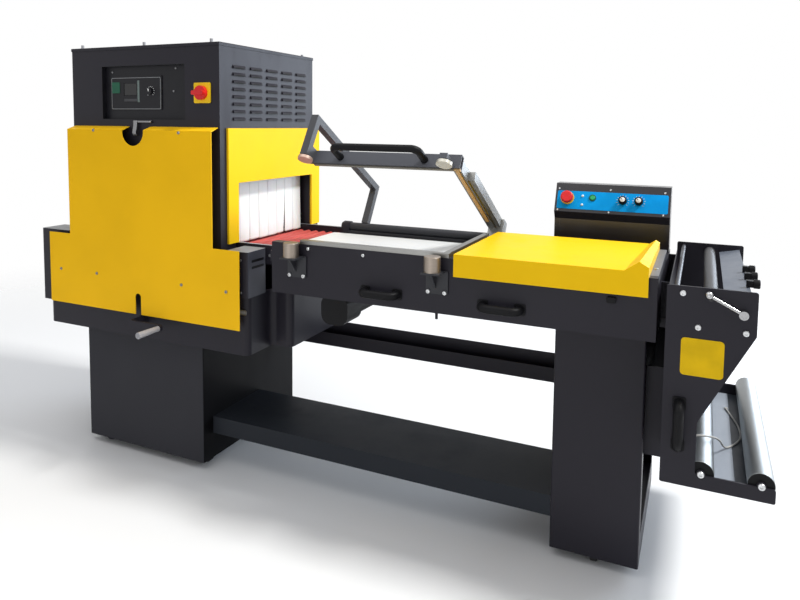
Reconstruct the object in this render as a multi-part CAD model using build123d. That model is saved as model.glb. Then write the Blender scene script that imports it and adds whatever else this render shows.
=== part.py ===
from build123d import *
import os

# An L-bar sealer joined to a shrink tunnel, in millimetres.
# x runs from the tunnel to the film unwinder and is 0 at the cabinet's left side, y runs from the
# front apron to the rear, z is the height above the floor. The last lines centre the machine.

# Sheet, plate and clearances
sheet = 2.5
plate = 5
bend = 5
running = 0.05
gap = 0.4

# Stance: pedestals, casters and feet
skirt_gap = 28
rear_plane = 648
left_pedestal_width = 543
left_pedestal_inset = -6
left_pedestal_front = 90
right_pedestal_width = 237
right_pedestal_inset = 28
right_pedestal_front = 140
caster_radius = 30
caster_width = 20
caster_trail = 20
caster_height = 82
caster_inset = 60
kingpin_radius = 6
axle_radius = 5
caster_head = 14
caster_cheek = 3
foot_radius = 25
foot_height = 12
foot_bevel = 4
cable_hole_length = 120
cable_hole_width = 80
window_rim = 40
window_sill = 20
window_lintel = 180
shelf_front = 141
shelf_depth = 271
shelf_top = 177
shelf_lip = 60
duct_front = 560
duct_width = 60
duct_bottom = 340
duct_lip = 49
duct_back = 83

# Shrink tunnel
tunnel_front = 46
cabinet_width = 656
cabinet_depth = 562
cabinet_height = 273
lid_height = 11
lid_lip = 2
lid_screw_radius = 5
lid_screw_height = 12
lid_screw_inset = 12
lid_screw_xs = (40, 330, 616)
base_bottom = 456
base_height = 196
base_reach_left = 150
base_reach_right = 104
base_corner = 22
transition_length = 77
transition_front = 180
transition_rear = 560
tunnel_level = 812
passage_front = 125
passage_width = 471
passage_height = 197
chamber_height = 541
hood_front = 79
hood_thickness = 8
opening_inset = 6
curtain_thickness = 2
curtain_inset = 40
curtain_strips = 8
curtain_band = 58
curtain_slit = 2
curtain_lift = 8
curtain_side_gap = 2
rail_width = 12
rail_height = 60
rail_reach = 5
roller_radius = 12.5
roller_pitch = 34
roller_sink = 24
end_box_front = 28
right_box_reach = 120
right_box_length = 86
right_box_drop = 12
left_box_reach = 158
left_box_length = 138
left_box_bottom = 546

# Yellow front cover
cover_depth = 35
cover_inset = 7
cover_wing = 98
cover_bottom = 549
cover_step = 805
cover_bevel = 12
notch_x = 316
notch_radius = 48
notch_drop = 18
slot_width = 26
slot_height = 60
spacer_radius = 8
cover_screws = ((136, 1178), (517, 1174), (136, 673), (520, 673))
wing_screws = ((-42, 673), (703, 670))

# Cabinet face
panel_left = 142
panel_width = 373
panel_drop = 65
panel_height = 186
panel_depth = 17.5
bezel_inset = 30
bezel_width = 230
bezel_height = 116
bezel_raise = 3
screen_left = 59
screen_width = 60
screen_bottom = 48
screen_height = 44
temperature_knob_x = 180
temperature_knob_z = 62
temperature_knob_radius = 11
temperature_knob_height = 9
switch_x = 589
switch_z = 1304
switch_plate = 66
switch_thickness = 5
switch_knob_radius = 23
switch_base = 12
switch_grip = 13
switch_grip_width = 14
louvre_rows = 8
louvre_columns = 5
louvre_length = 63
louvre_pitch_y = 94
louvre_pitch_z = 24.5
louvre_depth = 6
louvre_rise = 11
louvre_front = 113.5
louvre_bottom = 1216

# Fan and heaters
motor_radius = 62
motor_height = 190
motor_flange = 18
terminal_box_size = 70
terminal_box_depth = 35
shaft_radius = 8
fan_radius = 140
fan_width = 70
fan_blades = 10
blade_root = 63
blade_sweep = 18
inlet_width = 90
inlet_corner = 20
fan_drop = 60
heater_radius = 6
heater_rise = 44
heater_bend = 21
heater_lift = 67
heater_inset = 100

# Conveyor height crank
crank_x = 319
crank_z = 522
crank_arm = 122
crank_grip = 98
crank_boss = 17
crank_root = 8.5
crank_tip = 11

# Sealing table
table_gap = 50
apron_length = 1099
apron_height = 155
apron_flange = 30
table_height = 862
jaw_height = 12
jaw_width = 18
jaw_setback = 2
jaw_stop = 60
table_drop = 47
end_plate_thickness = 5
cross_height = 60
belt_drop = 45
belt_front = 60
bed_clearance = 2
belt_overhang = 45
belt_thickness = 2
belt_roller_radius = 25
belt_shaft_radius = 8
side_plate_gap = 6
gear_box = 90
gear_offset = 150
gear_motor_radius = 40
gear_corner = 30
stop_rod_radius = 4
stop_rod_length = 20
stop_rod_inset = 38

# Loading tray and console
tray_length = 490
tray_inset = 20
tray_depth = 427
tray_overhang = 12
tray_rise = 3
tray_lip = 61
ridge_width = 56
ridge_crest = 22
ridge_height = 24
ridge_toe = 11
ridge_taper = 0.5
console_width = 360
console_inset = 1
console_front = 575
console_rear = 655
console_chin = 87
console_nose = 13
console_nose_height = 112
console_lean = 38
console_height = 203
overlay_margin = 7
overlay_inset = 10
overlay_height = 62
overlay_thickness = 1.5
estop_radius = 20
estop_stem = 11
estop_rise = 47
estop_inset = 40
estop_cap = 14
estop_travel = 4
collar_radius = 22
collar_height = 4
start_radius = 8
start_rise = 51
start_inset = 121
start_proud = 4
knob_radius = 13
knob_rise = 46
knob_height = 15
knob_bevel = 3
knob_insets = (216, 265)

# Sealing arm, drawn closed and then raised
pivot_y = 447
pivot_drop = 23
raise_angle = 30.7
tube_radius = 15
tube_left_margin = 7
bar_width = 24
bar_depth = 20
bar_height = 42
bar_wall = 3
bar_lead = 1
side_bar_height = 33.6
blade_width = 10
blade_height = 3.7
blade_stop = 75
portal_offset = 99
portal_bar = 22
portal_height = 169
portal_reach = 494
arm_width = 472
link_reach = 358
link_width = 18
link_height = 28
disc_radius = 23
disc_thickness = 9
magnet_radius = 23
magnet_height = 43
magnet_stand_off = 28
magnet_inset = 12
bracket_margin = 4
bracket_tail = 14
bracket_drop = 65
bracket_web = 50
handle_bar_radius = 11
handle_reach = 66
handle_length = 273
handle_left = 90
bearing_width = 26
bearing_wall = 4
bearing_foot = 8

# Film unwinder
unwinder_gap = 21
unwinder_front = -12
unwinder_rear = 649
plate_drop = 20
plate_width = 191
plate_shoulder_drop = 101
plate_waist = 77
plate_waist_top = 522
plate_reach = 245
cradle_top = 397
cradle_bottom = 363
cradle_radius = 29
cradle_first = 90
cradle_pitch = 126
cradle_z = 399
film_roller_radius = 16
film_roller_x = 95
film_roller_drop = 26
tie_radius = 6
guide_width = 56
lever_x = 162
lever_drop = 50
lever_length = 80
lever_angle = 27
lever_rod_radius = 4
lever_hub = 22
lever_root = 14
lever_ball = 9
gusset_inset = 40
gusset_drop = 65
gusset_head = 120
cradle_plate_margin = 25
perforator_radius = 11
perforator_length = 14
perforator_foot = 16
perforator_ys = (103, 195, 286)
eyelet_y = 110
eyelet_rise = 8
eyelet_radius = 6
eyelet_length = 8
cord_radius = 2.5
cord_bend = 16
knot_radius = 5
cord_lead = 33
cord_crossing = ((69, 110, 38), (95, 114, 42), (131, 160, 22))
cord_lay = ((146, 222), (170, 257), (188, 302), (190, 356), (180, 424), (157, 507))

# Pull handles
pull_length = 100
pull_reach = 34
pull_radius = 12
pull_seat = 15
pull_xs = (320, 669)
pull_drop = 116
unwinder_pull_x = 37
unwinder_pull_z = 512

# Places worked out from the sizes above
base_top = base_bottom + base_height
base_left = -base_reach_left
base_right = cabinet_width + base_reach_right
transition_right = base_right + transition_length
passage_rear = passage_front + passage_width
passage_top = tunnel_level + passage_height
chamber_top = base_top + chamber_height
cabinet_top = chamber_top + cabinet_height
cabinet_rear = tunnel_front + cabinet_depth
apron_left = transition_right + table_gap
apron_right = apron_left + apron_length
apron_top = table_height - jaw_height
apron_bottom = apron_top - apron_height
table_top = table_height - table_drop
belt_level = table_height - belt_drop
roller_level = tunnel_level - roller_sink
pivot_z = table_height - pivot_drop
pull_z = apron_top - pull_drop
plate_top = table_height - plate_drop
plate_shoulder = plate_top - plate_shoulder_drop
lever_z = plate_top - lever_drop
left_pedestal_right = left_pedestal_inset + left_pedestal_width
right_pedestal_right = apron_right - right_pedestal_inset
right_pedestal_left = right_pedestal_right - right_pedestal_width
tray_right = apron_right - tray_inset
tray_left = tray_right - tray_length
tray_front = -tray_overhang
tray_rear = tray_front + tray_depth
tray_top = table_height + tray_rise
arm_left = apron_left + portal_offset
arm_right = arm_left + arm_width
unwinder_left = apron_right + unwinder_gap
belt_left = apron_left - belt_overhang
belt_right = arm_right - bar_width - side_plate_gap
belt_rear = pivot_y - tube_radius - bearing_wall - bed_clearance - side_plate_gap
belt_axle_z = belt_level - belt_thickness - gap - belt_roller_radius
belt_end = belt_roller_radius + gap + belt_thickness
fan_x = cabinet_width / 2
fan_y = (tunnel_front + rear_plane) / 2
magnet_xs = (arm_left - bar_width / 2, arm_right - bar_width - magnet_inset)
magnet_top = table_height - blade_height - gap
console_left = apron_right - console_inset - console_width
estop_x = console_left + estop_inset
start_x = console_left + start_inset
knob_xs = tuple(console_left + inset for inset in knob_insets)
motor_cross = apron_left + apron_length / 4
cross_top = apron_bottom + cross_height
pivot_rail_top = pivot_z - tube_radius - bearing_wall - bearing_foot
seal_w = table_height - pivot_z
bar_w0 = seal_w + blade_height + gap
bar_u1 = pivot_y - jaw_setback + bar_lead
bar_u0 = bar_u1 - bar_depth
nodes = {}


def rect(x0, x1, y0, y1):
    return Pos((x0 + x1) / 2, (y0 + y1) / 2) * Rectangle(x1 - x0, y1 - y0)


def disc(x, y, radius):
    return Pos(x, y) * Circle(radius)


def outline(*points):
    return make_face(Polyline(*points, close=True))


def rounded(face, radius):
    return fillet(face.vertices(), radius)


# Each of these three carries a flat face along one axis: its own x and y are (y, z), (x, z) or (x, y).
def along_x(face, x0, x1):
    return Pos(x0, 0, 0) * extrude(Plane.YZ * face, amount=x1 - x0)


def along_y(face, y0, y1):
    return Pos(0, y0, 0) * extrude(Plane.XZ * face, amount=y1 - y0, dir=(0, 1, 0))


def along_z(face, z0, z1):
    return Pos(0, 0, z0) * extrude(face, amount=z1 - z0)


def block(x0, x1, y0, y1, z0, z1):
    return along_z(rect(x0, x1, y0, y1), z0, z1)


def bent_rod(points, radius, corner):
    path = FilletPolyline(*points, radius=corner)
    return sweep(Plane(path @ 0, z_dir=path % 0) * Circle(radius), path=path)


def group(*shapes):
    return Compound([solid for shape in shapes for solid in shape.solids()])


def caster_places():
    left_x = left_pedestal_right - caster_inset
    right_x = (right_pedestal_left + right_pedestal_right) / 2
    rear_y = rear_plane - caster_inset
    return {
        "left_front": (left_x, left_pedestal_front + caster_inset, 0),
        "left_rear": (left_x, rear_y, 0),
        "right_front": (right_x, right_pedestal_front + caster_inset, -90),
        "right_rear": (right_x, rear_y, 90),
    }


def foot_places():
    x = left_pedestal_inset + caster_inset
    return ((x, left_pedestal_front + caster_inset), (x, rear_plane - caster_inset))


def pedestal(x0, x1, y0, top, pin_places):
    outer = along_z(rounded(rect(x0, x1, y0, rear_plane), bend), skirt_gap, top)
    room = rect(x0 + sheet, x1 - sheet, y0 + sheet, rear_plane - sheet)
    shell = outer - along_z(room, skirt_gap, caster_height)
    shell -= along_z(room, caster_height + plate, top - sheet)
    for x, y in pin_places:
        shell -= along_z(disc(x, y, kingpin_radius + running), caster_height, caster_height + plate)
    return shell


def left_pedestal():
    casters = [place[:2] for name, place in caster_places().items() if name.startswith("left")]
    shell = pedestal(
        left_pedestal_inset, left_pedestal_right, left_pedestal_front, base_bottom, (*casters, *foot_places())
    )
    cable_hole = Pos(fan_x, fan_y) * Rectangle(cable_hole_length, cable_hole_width)
    shell -= along_z(cable_hole, base_bottom - sheet, base_bottom)
    feet = []
    for x, y in foot_places():
        pad = along_z(disc(x, y, foot_radius), 0, foot_height)
        pad = chamfer(pad.edges().group_by(Axis.Z)[-1], foot_bevel)
        feet.append(pad + along_z(disc(x, y, kingpin_radius), foot_height, caster_height + plate))
    return group(shell, *feet)


def right_pedestal():
    casters = [place[:2] for name, place in caster_places().items() if name.startswith("right")]
    shell = pedestal(right_pedestal_left, right_pedestal_right, right_pedestal_front, apron_bottom, casters)
    rim = window_rim
    sill = caster_height + plate + window_sill
    lintel = apron_bottom - window_lintel
    side_window = rounded(rect(right_pedestal_front + rim, rear_plane - rim, sill, lintel), bend)
    shell -= along_x(side_window, right_pedestal_right - sheet, right_pedestal_right)
    rear_window = rounded(rect(right_pedestal_left + rim, right_pedestal_right - rim, sill, lintel), bend)
    return shell - along_y(rear_window, rear_plane - sheet, rear_plane)


def caster(place):
    x, y, heading = place
    half = caster_width / 2 + gap
    head_z = caster_height - caster_head
    cheek = make_hull(
        disc(caster_trail, caster_radius, 2 * axle_radius).edges()
        + rect(caster_cheek - foot_radius, foot_radius - caster_cheek, head_z - caster_cheek, head_z).edges()
    )
    fork = along_z(disc(0, 0, foot_radius + caster_cheek), head_z, caster_height - gap)
    fork += along_z(disc(0, 0, kingpin_radius), caster_height - gap, caster_height + plate)
    for side in (-half - caster_cheek, half):
        fork += along_y(cheek, side, side + caster_cheek)
    fork += along_y(disc(caster_trail, caster_radius, axle_radius), -half, half)
    tyre = along_y(disc(caster_trail, caster_radius, caster_radius), -half + gap, half - gap)
    tyre = fillet(tyre.edges().filter_by(GeomType.CIRCLE), caster_radius / 8)
    tyre -= along_y(disc(caster_trail, caster_radius, axle_radius + running), -half, half)
    where = Pos(x, y, 0) * Rot(0, 0, heading)
    return where * fork, where * tyre


def lower_shelf():
    y0, y1 = shelf_front, shelf_front + shelf_depth
    under = rect(y0 + sheet, y1 - sheet, shelf_top - shelf_lip, shelf_top - sheet)
    channel = rect(y0, y1, shelf_top - shelf_lip, shelf_top) - under
    return along_x(channel, left_pedestal_right, right_pedestal_left)


def cable_duct():
    y0, y1 = duct_front, duct_front + duct_width
    channel = rect(y0, y1, duct_bottom, duct_bottom + sheet)
    channel += rect(y0, y0 + sheet, duct_bottom, duct_bottom + duct_lip)
    channel += rect(y1 - sheet, y1, duct_bottom, duct_bottom + duct_back)
    return along_x(channel, left_pedestal_right, right_pedestal_left)


def tunnel_base():
    plan = rect(base_left, base_right, tunnel_front, rear_plane)
    plan += rect(base_right, transition_right, transition_front, transition_rear)
    plan = rounded(plan, base_corner)
    tub = along_z(plan, base_bottom, base_top)
    tub -= along_z(offset(plan, -sheet, kind=Kind.INTERSECTION), base_bottom + sheet, base_top)
    boss = along_y(disc(crank_x, crank_z, crank_boss), tunnel_front - crank_boss, tunnel_front)
    bore = disc(crank_x, crank_z, shaft_radius + running)
    return tub + boss - along_y(bore, tunnel_front - crank_boss, tunnel_front + sheet)


def tunnel_chamber():
    outer = along_z(rect(0, cabinet_width, tunnel_front, rear_plane), base_top, chamber_top)
    inner_x = (sheet, cabinet_width - sheet)
    ceiling = passage_top + sheet
    front_room = block(*inner_x, tunnel_front + sheet, passage_front - sheet, base_top, ceiling)
    rear_room = block(*inner_x, passage_rear + sheet, rear_plane - sheet, base_top, ceiling)
    plenum = block(*inner_x, tunnel_front + sheet, rear_plane - sheet, ceiling, chamber_top - sheet)
    passage = block(0, cabinet_width, passage_front, passage_rear, base_top, passage_top)
    shell = outer - front_room - rear_room - plenum - passage
    for x in (fan_x - fan_radius, fan_x, fan_x + fan_radius):
        inlet = rounded(Pos(x, fan_y) * Rectangle(inlet_width, 2 * fan_radius), inlet_corner)
        shell -= along_z(inlet, passage_top, ceiling)
    return shell - along_z(disc(fan_x, fan_y, shaft_radius + gap), chamber_top - sheet, chamber_top)


def louvres(x, outward):
    wedge_points = ((0, 0), (outward * louvre_depth, 0), (outward * louvre_depth * 0.7, louvre_rise / 2),
                    (0, louvre_rise))
    wedge = along_y(outline(*wedge_points), 0, louvre_length)
    places = [
        Pos(x, louvre_front + column * louvre_pitch_y, louvre_bottom + row * louvre_pitch_z)
        for column in range(louvre_columns)
        for row in range(louvre_rows)
    ]
    return [place * wedge for place in places]


def control_cabinet():
    plan = rect(0, cabinet_width, tunnel_front, cabinet_rear)
    room = rect(sheet, cabinet_width - sheet, tunnel_front + sheet, cabinet_rear - sheet)
    shell = along_z(plan - room, chamber_top, cabinet_top - lid_height)
    window = rect(panel_left, panel_left + panel_width,
                  cabinet_top - panel_drop - panel_height, cabinet_top - panel_drop)
    shell -= along_y(window, tunnel_front, tunnel_front + sheet)
    shell -= along_y(disc(switch_x, switch_z, shaft_radius), tunnel_front, tunnel_front + sheet)
    return shell + louvres(cabinet_width, 1) + louvres(0, -1)


def cabinet_lid():
    front, rear = tunnel_front - lid_lip, cabinet_rear + lid_lip
    cap = block(-lid_lip, cabinet_width + lid_lip, front, rear, cabinet_top - lid_height, cabinet_top)
    cap = fillet(cap.edges().group_by(Axis.Z)[-1], sheet)
    room = rect(sheet, cabinet_width - sheet, tunnel_front + sheet, cabinet_rear - sheet)
    cap -= along_z(room, cabinet_top - lid_height, cabinet_top - sheet)
    for x in lid_screw_xs:
        for y in (tunnel_front + lid_screw_inset, cabinet_rear - lid_screw_inset):
            cap += along_z(disc(x, y, lid_screw_radius), cabinet_top, cabinet_top + lid_screw_height)
    return cap


def control_panel():
    x0, x1 = panel_left, panel_left + panel_width
    z1 = cabinet_top - panel_drop
    z0 = z1 - panel_height
    back = tunnel_front + panel_depth
    pan = along_y(rect(x0, x1, z0, z1), tunnel_front, back + sheet)
    pan -= along_y(rect(x0 + sheet, x1 - sheet, z0 + sheet, z1 - sheet), tunnel_front, back)
    bezel_x, bezel_z = x0 + bezel_inset, (z0 + z1 - bezel_height) / 2
    bezel = rounded(rect(bezel_x, bezel_x + bezel_width, bezel_z, bezel_z + bezel_height), bend)
    pan += along_y(bezel, back - bezel_raise, back)
    screen_x, screen_z = bezel_x + screen_left, bezel_z + screen_bottom
    screen = rect(screen_x, screen_x + screen_width, screen_z, screen_z + screen_height)
    pan -= along_y(screen, back - bezel_raise, back - bezel_raise / 2)
    knob = disc(bezel_x + temperature_knob_x, bezel_z + temperature_knob_z, temperature_knob_radius)
    return pan + along_y(knob, back - bezel_raise - temperature_knob_height, back - bezel_raise)


def front_cover():
    front = tunnel_front - cover_depth
    brim = chamber_top - cover_bevel
    face = rect(-cover_wing, cabinet_width + cover_wing, cover_bottom, cover_step)
    face += rect(cover_inset, cabinet_width - cover_inset, cover_step, brim)
    middle = cabinet_width / 2
    slot = rect(middle - slot_width / 2, middle + slot_width / 2, cover_bottom, cover_bottom + slot_height)
    slot += disc(middle, cover_bottom + slot_height, slot_width / 2)
    skin = along_y(face - slot, front, front + sheet)
    slope = outline((front, brim), (front, brim - sheet), (front + sheet, brim - sheet),
                    (tunnel_front, chamber_top - sheet), (tunnel_front, chamber_top))
    skin += along_x(slope, cover_inset, cabinet_width - cover_inset)
    notch_z = chamber_top - notch_drop
    notch = disc(notch_x, notch_z, notch_radius)
    notch += rect(notch_x - notch_radius, notch_x + notch_radius, notch_z, chamber_top)
    skin -= along_y(notch, front, tunnel_front)
    for x, z in cover_screws:
        skin += along_y(disc(x, z, spacer_radius), front + sheet, tunnel_front)
    for x, z in wing_screws:
        skin += along_y(disc(x, z, spacer_radius), front + sheet, end_box_front)
    return skin


def tunnel_hoods():
    foot = tunnel_level - sheet
    arch = rect(hood_front, rear_plane, foot, chamber_top - sheet)
    arch -= rect(passage_front + opening_inset, passage_rear - opening_inset, foot, passage_top)
    right = along_x(arch, cabinet_width, cabinet_width + hood_thickness)
    left = along_x(arch, -hood_thickness, 0)
    return group(right, left)


def tunnel_curtains():
    side = rail_width + curtain_side_gap
    y0, y1 = passage_front + side, passage_rear - side
    z0, z1 = roller_level + curtain_lift, passage_top - gap
    comb = rect(y0, y1, z0, z1)
    strip = (y1 - y0) / curtain_strips
    for i in range(1, curtain_strips):
        y = y0 + i * strip
        comb -= rect(y - curtain_slit / 2, y + curtain_slit / 2, z0, z1 - curtain_band)
    right_x = cabinet_width - curtain_inset
    right = along_x(comb, right_x - curtain_thickness, right_x)
    left = along_x(comb, curtain_inset, curtain_inset + curtain_thickness)
    return group(right, left)


def tunnel_rails():
    x0, x1 = base_left + rail_reach, transition_right - rail_reach
    z0 = roller_level - roller_radius - rail_height / 2
    z1 = tunnel_level - sheet
    front = passage_front
    rear = passage_rear - rail_width
    front_rail = block(x0, x1, front, front + rail_width, z0, z1)
    rear_rail = block(x0, x1, rear, rear + rail_width, z0, z1)
    for x in roller_xs():
        hole = disc(x, roller_level - roller_radius, axle_radius + running)
        front_rail -= along_y(hole, front, front + rail_width)
        rear_rail -= along_y(hole, rear, rear + rail_width)
    right_x = cabinet_width + right_box_reach
    right_top = tunnel_level - right_box_drop
    right_box = block(right_x - right_box_length, right_x, end_box_front, front, base_top, right_top)
    left_x = -left_box_reach
    left_end = left_x + left_box_length
    left_box = block(left_x, left_end, end_box_front, front, base_top, tunnel_level)
    left_box += block(left_x, left_end, end_box_front, tunnel_front, left_box_bottom, base_top)
    boxes = [
        fillet(right_box.edges().filter_by(Axis.Z), bend),
        fillet(left_box.edges().filter_by(Axis.Z).sort_by(Axis.Y)[:2], bend),
    ]
    legs = []
    for x in (base_left + base_corner, base_right - base_corner - rail_width):
        legs.append(block(x, x + rail_width, front, front + rail_width, base_bottom + sheet, z0))
        legs.append(block(x, x + rail_width, rear, rear + rail_width, base_bottom + sheet, z0))
    front_rail = front_rail + boxes + legs[0::2]
    rear_rail = rear_rail + legs[1::2]
    return group(front_rail, rear_rail)


def roller_xs():
    x0 = base_left + rail_reach + roller_radius + bend
    x1 = transition_right - rail_reach - roller_radius - bend
    count = int((x1 - x0) // roller_pitch) + 1
    return [x0 + i * roller_pitch for i in range(count)]


def tunnel_rollers():
    y0, y1 = passage_front + rail_width, passage_rear - rail_width
    z = roller_level - roller_radius
    rollers = []
    for x in roller_xs():
        tube = along_y(disc(x, z, roller_radius), y0 + gap, y1 - gap)
        rollers.append(tube + along_y(disc(x, z, axle_radius), passage_front, passage_rear))
    return group(*rollers)


def fan_motor():
    z0 = chamber_top
    flange = along_z(disc(fan_x, fan_y, motor_radius + motor_flange), z0, z0 + plate)
    body = along_z(disc(fan_x, fan_y, motor_radius), z0 + plate, z0 + motor_height)
    body = fillet(body.edges().group_by(Axis.Z)[-1], bend)
    half = terminal_box_size / 2
    box_z = z0 + motor_height / 2
    box_x = fan_x + motor_radius
    box_face = rect(fan_y - half, fan_y + half, box_z - half, box_z + half)
    terminal_box = along_x(box_face, box_x - bend, box_x + terminal_box_depth)
    bore = along_z(disc(fan_x, fan_y, shaft_radius + running), z0, z0 + motor_height / 2)
    return flange + body + terminal_box - bore


def fan_impeller():
    z1 = chamber_top - sheet - fan_drop
    z0 = z1 - fan_width
    hub = along_z(disc(fan_x, fan_y, 3 * shaft_radius), z0, z1)
    back = along_z(disc(fan_x, fan_y, fan_radius), z1 - sheet, z1)
    shaft = along_z(disc(fan_x, fan_y, shaft_radius), z1, chamber_top + motor_height / 2)
    wheel = hub + back + shaft
    blade = block(blade_root, fan_radius, -sheet / 2, sheet / 2, z0, z1 - sheet)
    for i in range(fan_blades):
        turn = Rot(0, 0, i * 360 / fan_blades) * Pos(0, blade_sweep, 0)
        wheel += Pos(fan_x, fan_y, 0) * turn * (blade & along_z(disc(0, -blade_sweep, fan_radius), z0, z1))
    return wheel


def heater_elements():
    z0 = passage_top + heater_lift
    x0, x1 = sheet, cabinet_width - heater_inset
    bars = []
    for y in (tunnel_front + heater_inset, rear_plane - heater_inset):
        points = ((x0, y, z0), (x1, y, z0), (x1, y, z0 + heater_rise), (x0, y, z0 + heater_rise))
        bars.append(bent_rod(points, heater_radius, heater_bend))
    return group(*bars)


def crank():
    y0 = tunnel_front - crank_boss - gap
    hub_depth = cover_depth + crank_boss / 2
    shaft = along_y(disc(crank_x, crank_z, shaft_radius), y0, tunnel_front + sheet)
    hub = along_y(disc(crank_x, crank_z, crank_boss - bend / 2), y0 - hub_depth, y0)
    arm_face = make_hull(disc(crank_x, crank_z, crank_boss - bend).edges()
                         + disc(crank_x + crank_arm, crank_z, crank_boss - bend).edges())
    arm_y = y0 - hub_depth + shaft_radius
    arm = along_y(arm_face, y0 - hub_depth, arm_y)
    grip_x = crank_x + crank_arm
    root = Pos(grip_x, arm_y, crank_z) * (Plane.XZ * Circle(crank_root))
    tip = Pos(grip_x, arm_y - crank_grip, crank_z) * (Plane.XZ * Circle(crank_tip))
    grip = loft([root, tip])
    grip = fillet(grip.edges().sort_by(Axis.Y)[:1], sheet)
    return shaft + hub + arm + grip


def switch_collars():
    half = switch_plate / 2
    face = rounded(rect(switch_x - half, switch_x + half, switch_z - half, switch_z + half), bend)
    face -= disc(switch_x, switch_z, axle_radius + running)
    main = along_y(face, tunnel_front - switch_thickness, tunnel_front)
    collar = panel_plane() * (
        along_z(
            disc(estop_x, estop_rise, collar_radius) - disc(estop_x, estop_rise, estop_stem + running),
            overlay_thickness, overlay_thickness + collar_height,
        )
    )
    return group(main, collar)


def main_switch_knob():
    y1 = tunnel_front - switch_thickness - gap
    base = along_y(disc(switch_x, switch_z, switch_knob_radius), y1 - switch_base, y1)
    grip = rounded(Pos(switch_x, switch_z) * Rectangle(2 * switch_knob_radius, switch_grip_width), bend)
    knob = base + along_y(grip, y1 - switch_base - switch_grip, y1 - switch_base)
    return knob + along_y(disc(switch_x, switch_z, axle_radius), y1, tunnel_front + sheet)


def front_apron():
    web = rect(0, plate / 2, apron_bottom, apron_top)
    top = rect(0, apron_flange, apron_top - plate / 2, apron_top)
    bottom = rect(0, apron_flange, apron_bottom, apron_bottom + plate / 2)
    rod = disc(arm_right - stop_rod_inset, apron_flange / 2, stop_rod_radius)
    stop_rod = along_z(rod, apron_bottom - stop_rod_length, apron_bottom)
    return along_x(web + top + bottom, apron_left, apron_right) + stop_rod


def table_frame():
    rear_web = rect(rear_plane - plate / 2, rear_plane, apron_bottom, table_top)
    rear_web += rect(rear_plane - apron_flange, rear_plane, table_top - plate / 2, table_top)
    rear_web += rect(rear_plane - apron_flange, rear_plane, apron_bottom, apron_bottom + plate / 2)
    frame = along_x(rear_web, apron_left, apron_right)
    y0, y1 = apron_flange, rear_plane - apron_flange
    jaw_cross = arm_right - (bar_width + end_plate_thickness) / 2
    end_cross = apron_right - end_plate_thickness
    for x in (apron_left, motor_cross, jaw_cross, right_pedestal_left, end_cross):
        frame += block(x, x + end_plate_thickness, y0, y1, apron_bottom, cross_top)
    for x in (tray_left, end_cross):
        frame += block(x, x + end_plate_thickness, y0, y1, apron_bottom, table_top)
    shelf_left = arm_right + 2 * bearing_width + plate
    frame += block(shelf_left, apron_right, tray_rear - apron_flange, y1, table_top - plate / 2, table_top)
    frame += block(tray_right + gap, apron_right, apron_flange, tray_rear, apron_top - sheet, apron_top)
    frame += block(end_cross, apron_right, apron_flange, tray_rear, table_top, apron_top - sheet)
    return frame + belt_bed() + pivot_rail()


def pivot_rail():
    return block(apron_left, arm_right + 2 * bearing_width, belt_rear + 2 * side_plate_gap,
                 pivot_y + tube_radius + bearing_wall, cross_top, pivot_rail_top)


def belt_bed():
    top = belt_level - side_plate_gap
    x0, x1 = belt_left + bend, belt_right - bend
    front = belt_front - side_plate_gap
    rear = belt_rear + side_plate_gap
    side = rect(x0, x1, belt_axle_z - belt_roller_radius / 2, top)
    side += rect(apron_left, x1, cross_top, top)
    for x in (belt_left + belt_end, belt_right - belt_end):
        side -= disc(x, belt_axle_z, belt_shaft_radius + running)
    bed_x = (belt_left + 2 * belt_end + bend, belt_right - 2 * belt_end - bend)
    bed_top = belt_level - belt_thickness - gap
    bed = block(*bed_x, front, rear, bed_top - plate, bed_top)
    return [along_y(side, front - plate, front), along_y(side, rear, rear + plate), bed]


def conveyor_belt():
    x0, x1 = belt_left + belt_end, belt_right - belt_end
    z = belt_axle_z
    inner = belt_roller_radius + gap
    outer_loop = Pos((x0 + x1) / 2, z) * SlotCenterToCenter(x1 - x0, 2 * (inner + belt_thickness))
    inner_loop = Pos((x0 + x1) / 2, z) * SlotCenterToCenter(x1 - x0, 2 * inner)
    return along_y(outer_loop - inner_loop, belt_front, belt_rear)


def belt_roller(x):
    drum = along_y(disc(x, belt_axle_z, belt_roller_radius), belt_front, belt_rear)
    shaft_front = belt_front - side_plate_gap - plate
    shaft_rear = belt_rear + side_plate_gap + plate
    return drum + along_y(disc(x, belt_axle_z, belt_shaft_radius), shaft_front, shaft_rear)


def belt_gearmotor():
    x = apron_left + gear_offset
    z1 = apron_bottom
    y0 = apron_flange + 2 * plate
    box = block(x, x + gear_box, y0, y0 + gear_box, z1 - gear_box, z1)
    box = fillet(box.edges().filter_by(Axis.Y), gear_corner)
    hanger_end = motor_cross + end_plate_thickness
    hanger = block(x - gear_box / 4, hanger_end, y0, y0 + gear_box, z1 - plate, z1)
    motor_face = disc(x + gear_box / 2, z1 - gear_box / 2, gear_motor_radius)
    motor = along_y(motor_face, y0 + gear_box, y0 + 3 * gear_box)
    motor = fillet(motor.edges().sort_by(Axis.Y)[-1:], bend)
    return box + hanger + motor


def lower_jaws():
    y0 = jaw_setback
    front = block(arm_left, arm_right, y0, y0 + jaw_width, apron_top, table_height)
    x1 = arm_right - (bar_width - jaw_width) / 2
    side = block(x1 - jaw_width, x1, y0 + jaw_width, pivot_y - jaw_stop, apron_top, table_height)
    middle = arm_right - bar_width / 2
    stand_face = rect(apron_flange, pivot_y - jaw_stop, cross_top, apron_top)
    stand = along_x(stand_face, middle - plate / 2, middle + plate / 2)
    return front + side + stand


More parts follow.
